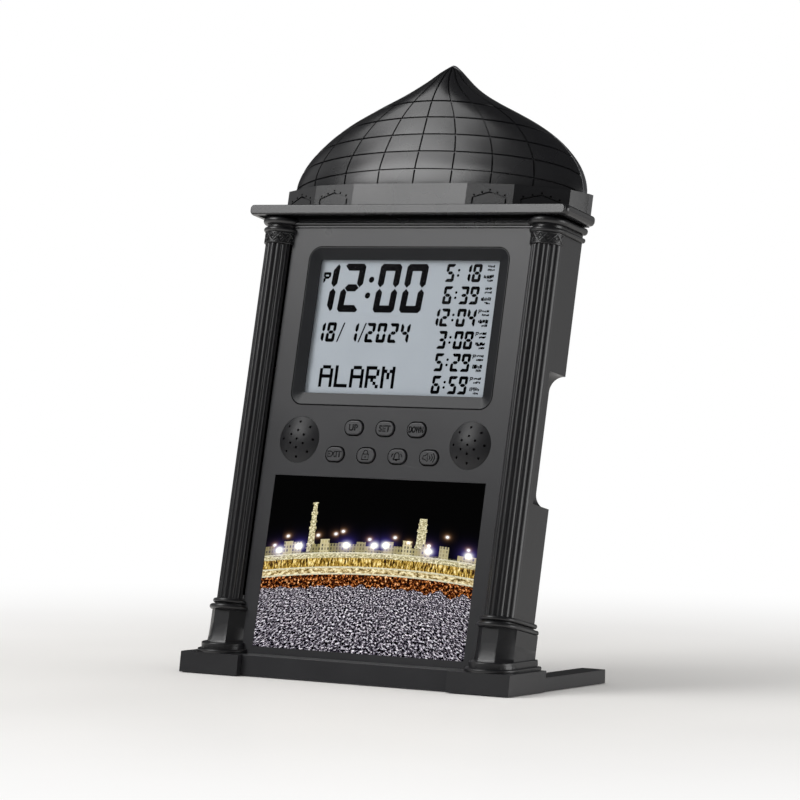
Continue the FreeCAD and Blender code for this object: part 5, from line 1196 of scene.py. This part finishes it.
class StageSettings(bpy.types.PropertyGroup):
    """Camera and light of the stage."""

    azimuth: angle_setting("Azimuth", "Camera's turn round the clock, towards its right side", 33.58)
    elevation: angle_setting("Elevation", "Camera's height angle", 1.31)
    roll: angle_setting("Roll", "Camera's turn about its own axis", 0.81)
    distance: FloatProperty(name="Distance", description="Camera to the point that it looks at",
                            default=1.430, unit="LENGTH")
    lens: FloatProperty(name="Lens", description="Focal length in millimetres", default=172.18)
    aim: FloatVectorProperty(name="Aim", description="Point that the camera looks at",
                             default=(0.0008, 0.0002, 0.1040), subtype="XYZ", unit="LENGTH")
    floor_colour: colour_setting("Floor", "Board under the clock", "f4f2ef")
    fill: level_setting("Fill", "Level of the light from all sides on matt surfaces", 0.75)
    room: level_setting("Room", "Level that gloss mirrors in front of the clock", 0.06)
    backdrop: level_setting("Backdrop", "Level that gloss mirrors behind the clock", 0.6)
    key_power: level_setting("Key", "Power of the front softbox", 6.6, "POWER")
    top_power: level_setting("Top", "Power of the top softbox", 4.5, "POWER")
    side_power: level_setting("Sides", "Power of the right softbox", 6.5, "POWER")


def clock():
    return bpy.context.scene.clock_settings


class CLOCK_OT_stage(bpy.types.Operator):
    """Pale floor, soft light and the camera"""

    bl_idname = "clock.stage"
    bl_label = "Stage"

    def execute(self, context):
        make_stage(context.scene.stage_settings)
        return {"FINISHED"}


class CLOCK_OT_case(bpy.types.Operator):
    """Finish of the panel, plinth strip, back cover and battery door"""

    bl_idname = "clock.case"
    bl_label = "Case"

    def execute(self, context):
        dress("moulded_panel_abs", "front_panel", "plinth_strip", "back_cover", "battery_door",
              round_off=clock().edge_round)
        return {"FINISHED"}


class CLOCK_OT_order(bpy.types.Operator):
    """Finish of the columns, pedestals, feet and cornice"""

    bl_idname = "clock.order"
    bl_label = "Columns, pedestals and cornice"

    def execute(self, context):
        dress("moulded_black_abs", "cornice")
        dress("moulded_column_abs", "left_column", "right_column")
        dress("moulded_column_abs", "left_pedestal", "right_pedestal", round_off=clock().edge_round)
        dress("moulded_foot_abs", "left_foot", "right_foot", round_off=3 * clock().edge_round)
        dress("pad_rubber", "foot_pads")
        return {"FINISHED"}


class CLOCK_OT_capitals(bpy.types.Operator):
    """Lattice of ribs around the capitals, the slab's flat front, and painted shade under the slab"""

    bl_idname = "clock.capitals"
    bl_label = "Capitals and slab"

    def execute(self, context):
        make_capitals(clock().lattice_rib)
        make_cornice()
        return {"FINISHED"}


class CLOCK_OT_dome(bpy.types.Operator):
    """Grooved dome in place of the plain shell"""

    bl_idname = "clock.dome"
    bl_label = "Dome"

    def execute(self, context):
        make_dome(clock())
        return {"FINISHED"}


class CLOCK_OT_drum(bpy.types.Operator):
    """Drum with engraved gables and studs"""

    bl_idname = "clock.drum"
    bl_label = "Drum"

    def execute(self, context):
        make_drum(clock())
        return {"FINISHED"}


class CLOCK_OT_display(bpy.types.Operator):
    """Display face, its segments, the clear window and the bezel"""

    bl_idname = "clock.display"
    bl_label = "Display"

    def execute(self, context):
        dress("moulded_bezel_abs", "lcd_bezel")
        # Painted shade in the gap around the bezel
        make_gap_shade("bezel_seam", ("lcd_bezel",), *BEZEL_GAP_SHADE)
        make_display(clock().display_border)
        return {"FINISHED"}


class CLOCK_OT_keys(bpy.types.Operator):
    """Key tops and their legends"""

    bl_idname = "clock.keys"
    bl_label = "Keys"

    def execute(self, context):
        dress("moulded_key_abs", *KEY_NODES)
        # Painted shade in the gaps around the keys
        make_gap_shade("key_gaps", KEY_NODES, *KEY_GAP_SHADE)
        make_legends(clock().legend_line)
        return {"FINISHED"}


class CLOCK_OT_speakers(bpy.types.Operator):
    """Grilles, frames, cones and magnets of the two speakers"""

    bl_idname = "clock.speakers"
    bl_label = "Speakers"

    def execute(self, context):
        for side in ("left", "right"):
            dress("moulded_grille_abs", side + "_speaker_grille")
            dress("pressed_steel", side + "_speaker_frame")
            dress("pressed_paper", side + "_speaker_cone")
            dress("sintered_ferrite", side + "_speaker_magnet")
        return {"FINISHED"}


class CLOCK_OT_picture(bpy.types.Operator):
    """Printed card in its recess"""

    bl_idname = "clock.picture"
    bl_label = "Picture"

    def execute(self, context):
        dress("offset_print", "picture_card")
        return {"FINISHED"}


class CLOCK_OT_inside(bpy.types.Operator):
    """Finish of the pieces inside the case"""

    bl_idname = "clock.inside"
    bl_label = "Inner pieces"

    def execute(self, context):
        dress("opal_acrylic", "light_guide")
        dress("keypad_silicone", "keypad_mat", "contact_strips")
        dress("solder_mask", "main_board")
        dress("moulded_epoxy", "board_components")
        dress("extruded_pvc", "battery_leads", "speaker_leads")
        dress("cell_sleeve", "battery_cells")
        dress("nickel_plated_wire", "battery_springs", "battery_contacts")
        dress("zinc_plated_steel", "case_screws", "board_screws", "column_screws", "foot_screws")
        return {"FINISHED"}


OPERATORS = (CLOCK_OT_stage, CLOCK_OT_case, CLOCK_OT_order, CLOCK_OT_capitals, CLOCK_OT_dome, CLOCK_OT_drum,
             CLOCK_OT_display, CLOCK_OT_keys, CLOCK_OT_speakers, CLOCK_OT_picture, CLOCK_OT_inside)


class CLOCK_PT_panel(bpy.types.Panel):
    """Sidebar panel with one button for each step"""

    bl_idname = "CLOCK_PT_panel"
    bl_label = "Prayer-time clock"
    bl_space_type = "VIEW_3D"
    bl_region_type = "UI"
    bl_category = "Clock"

    def draw(self, context):
        for operator in OPERATORS:
            self.layout.operator(operator.bl_idname)
        for settings in (context.scene.clock_settings, context.scene.stage_settings):
            for name in settings.__annotations__:
                self.layout.prop(settings, name)


CLASSES = (ClockSettings, StageSettings) + OPERATORS + (CLOCK_PT_panel,)


def register():
    for cls in CLASSES:
        bpy.utils.register_class(cls)
    bpy.types.Scene.clock_settings = PointerProperty(type=ClockSettings)
    bpy.types.Scene.stage_settings = PointerProperty(type=StageSettings)


def unregister():
    del bpy.types.Scene.stage_settings
    del bpy.types.Scene.clock_settings
    for cls in reversed(CLASSES):
        bpy.utils.unregister_class(cls)


def main():
    register()
    for operator in OPERATORS:
        group, name = operator.bl_idname.split(".")
        getattr(getattr(bpy.ops, group), name)()


if __name__ == "__main__":
    main()
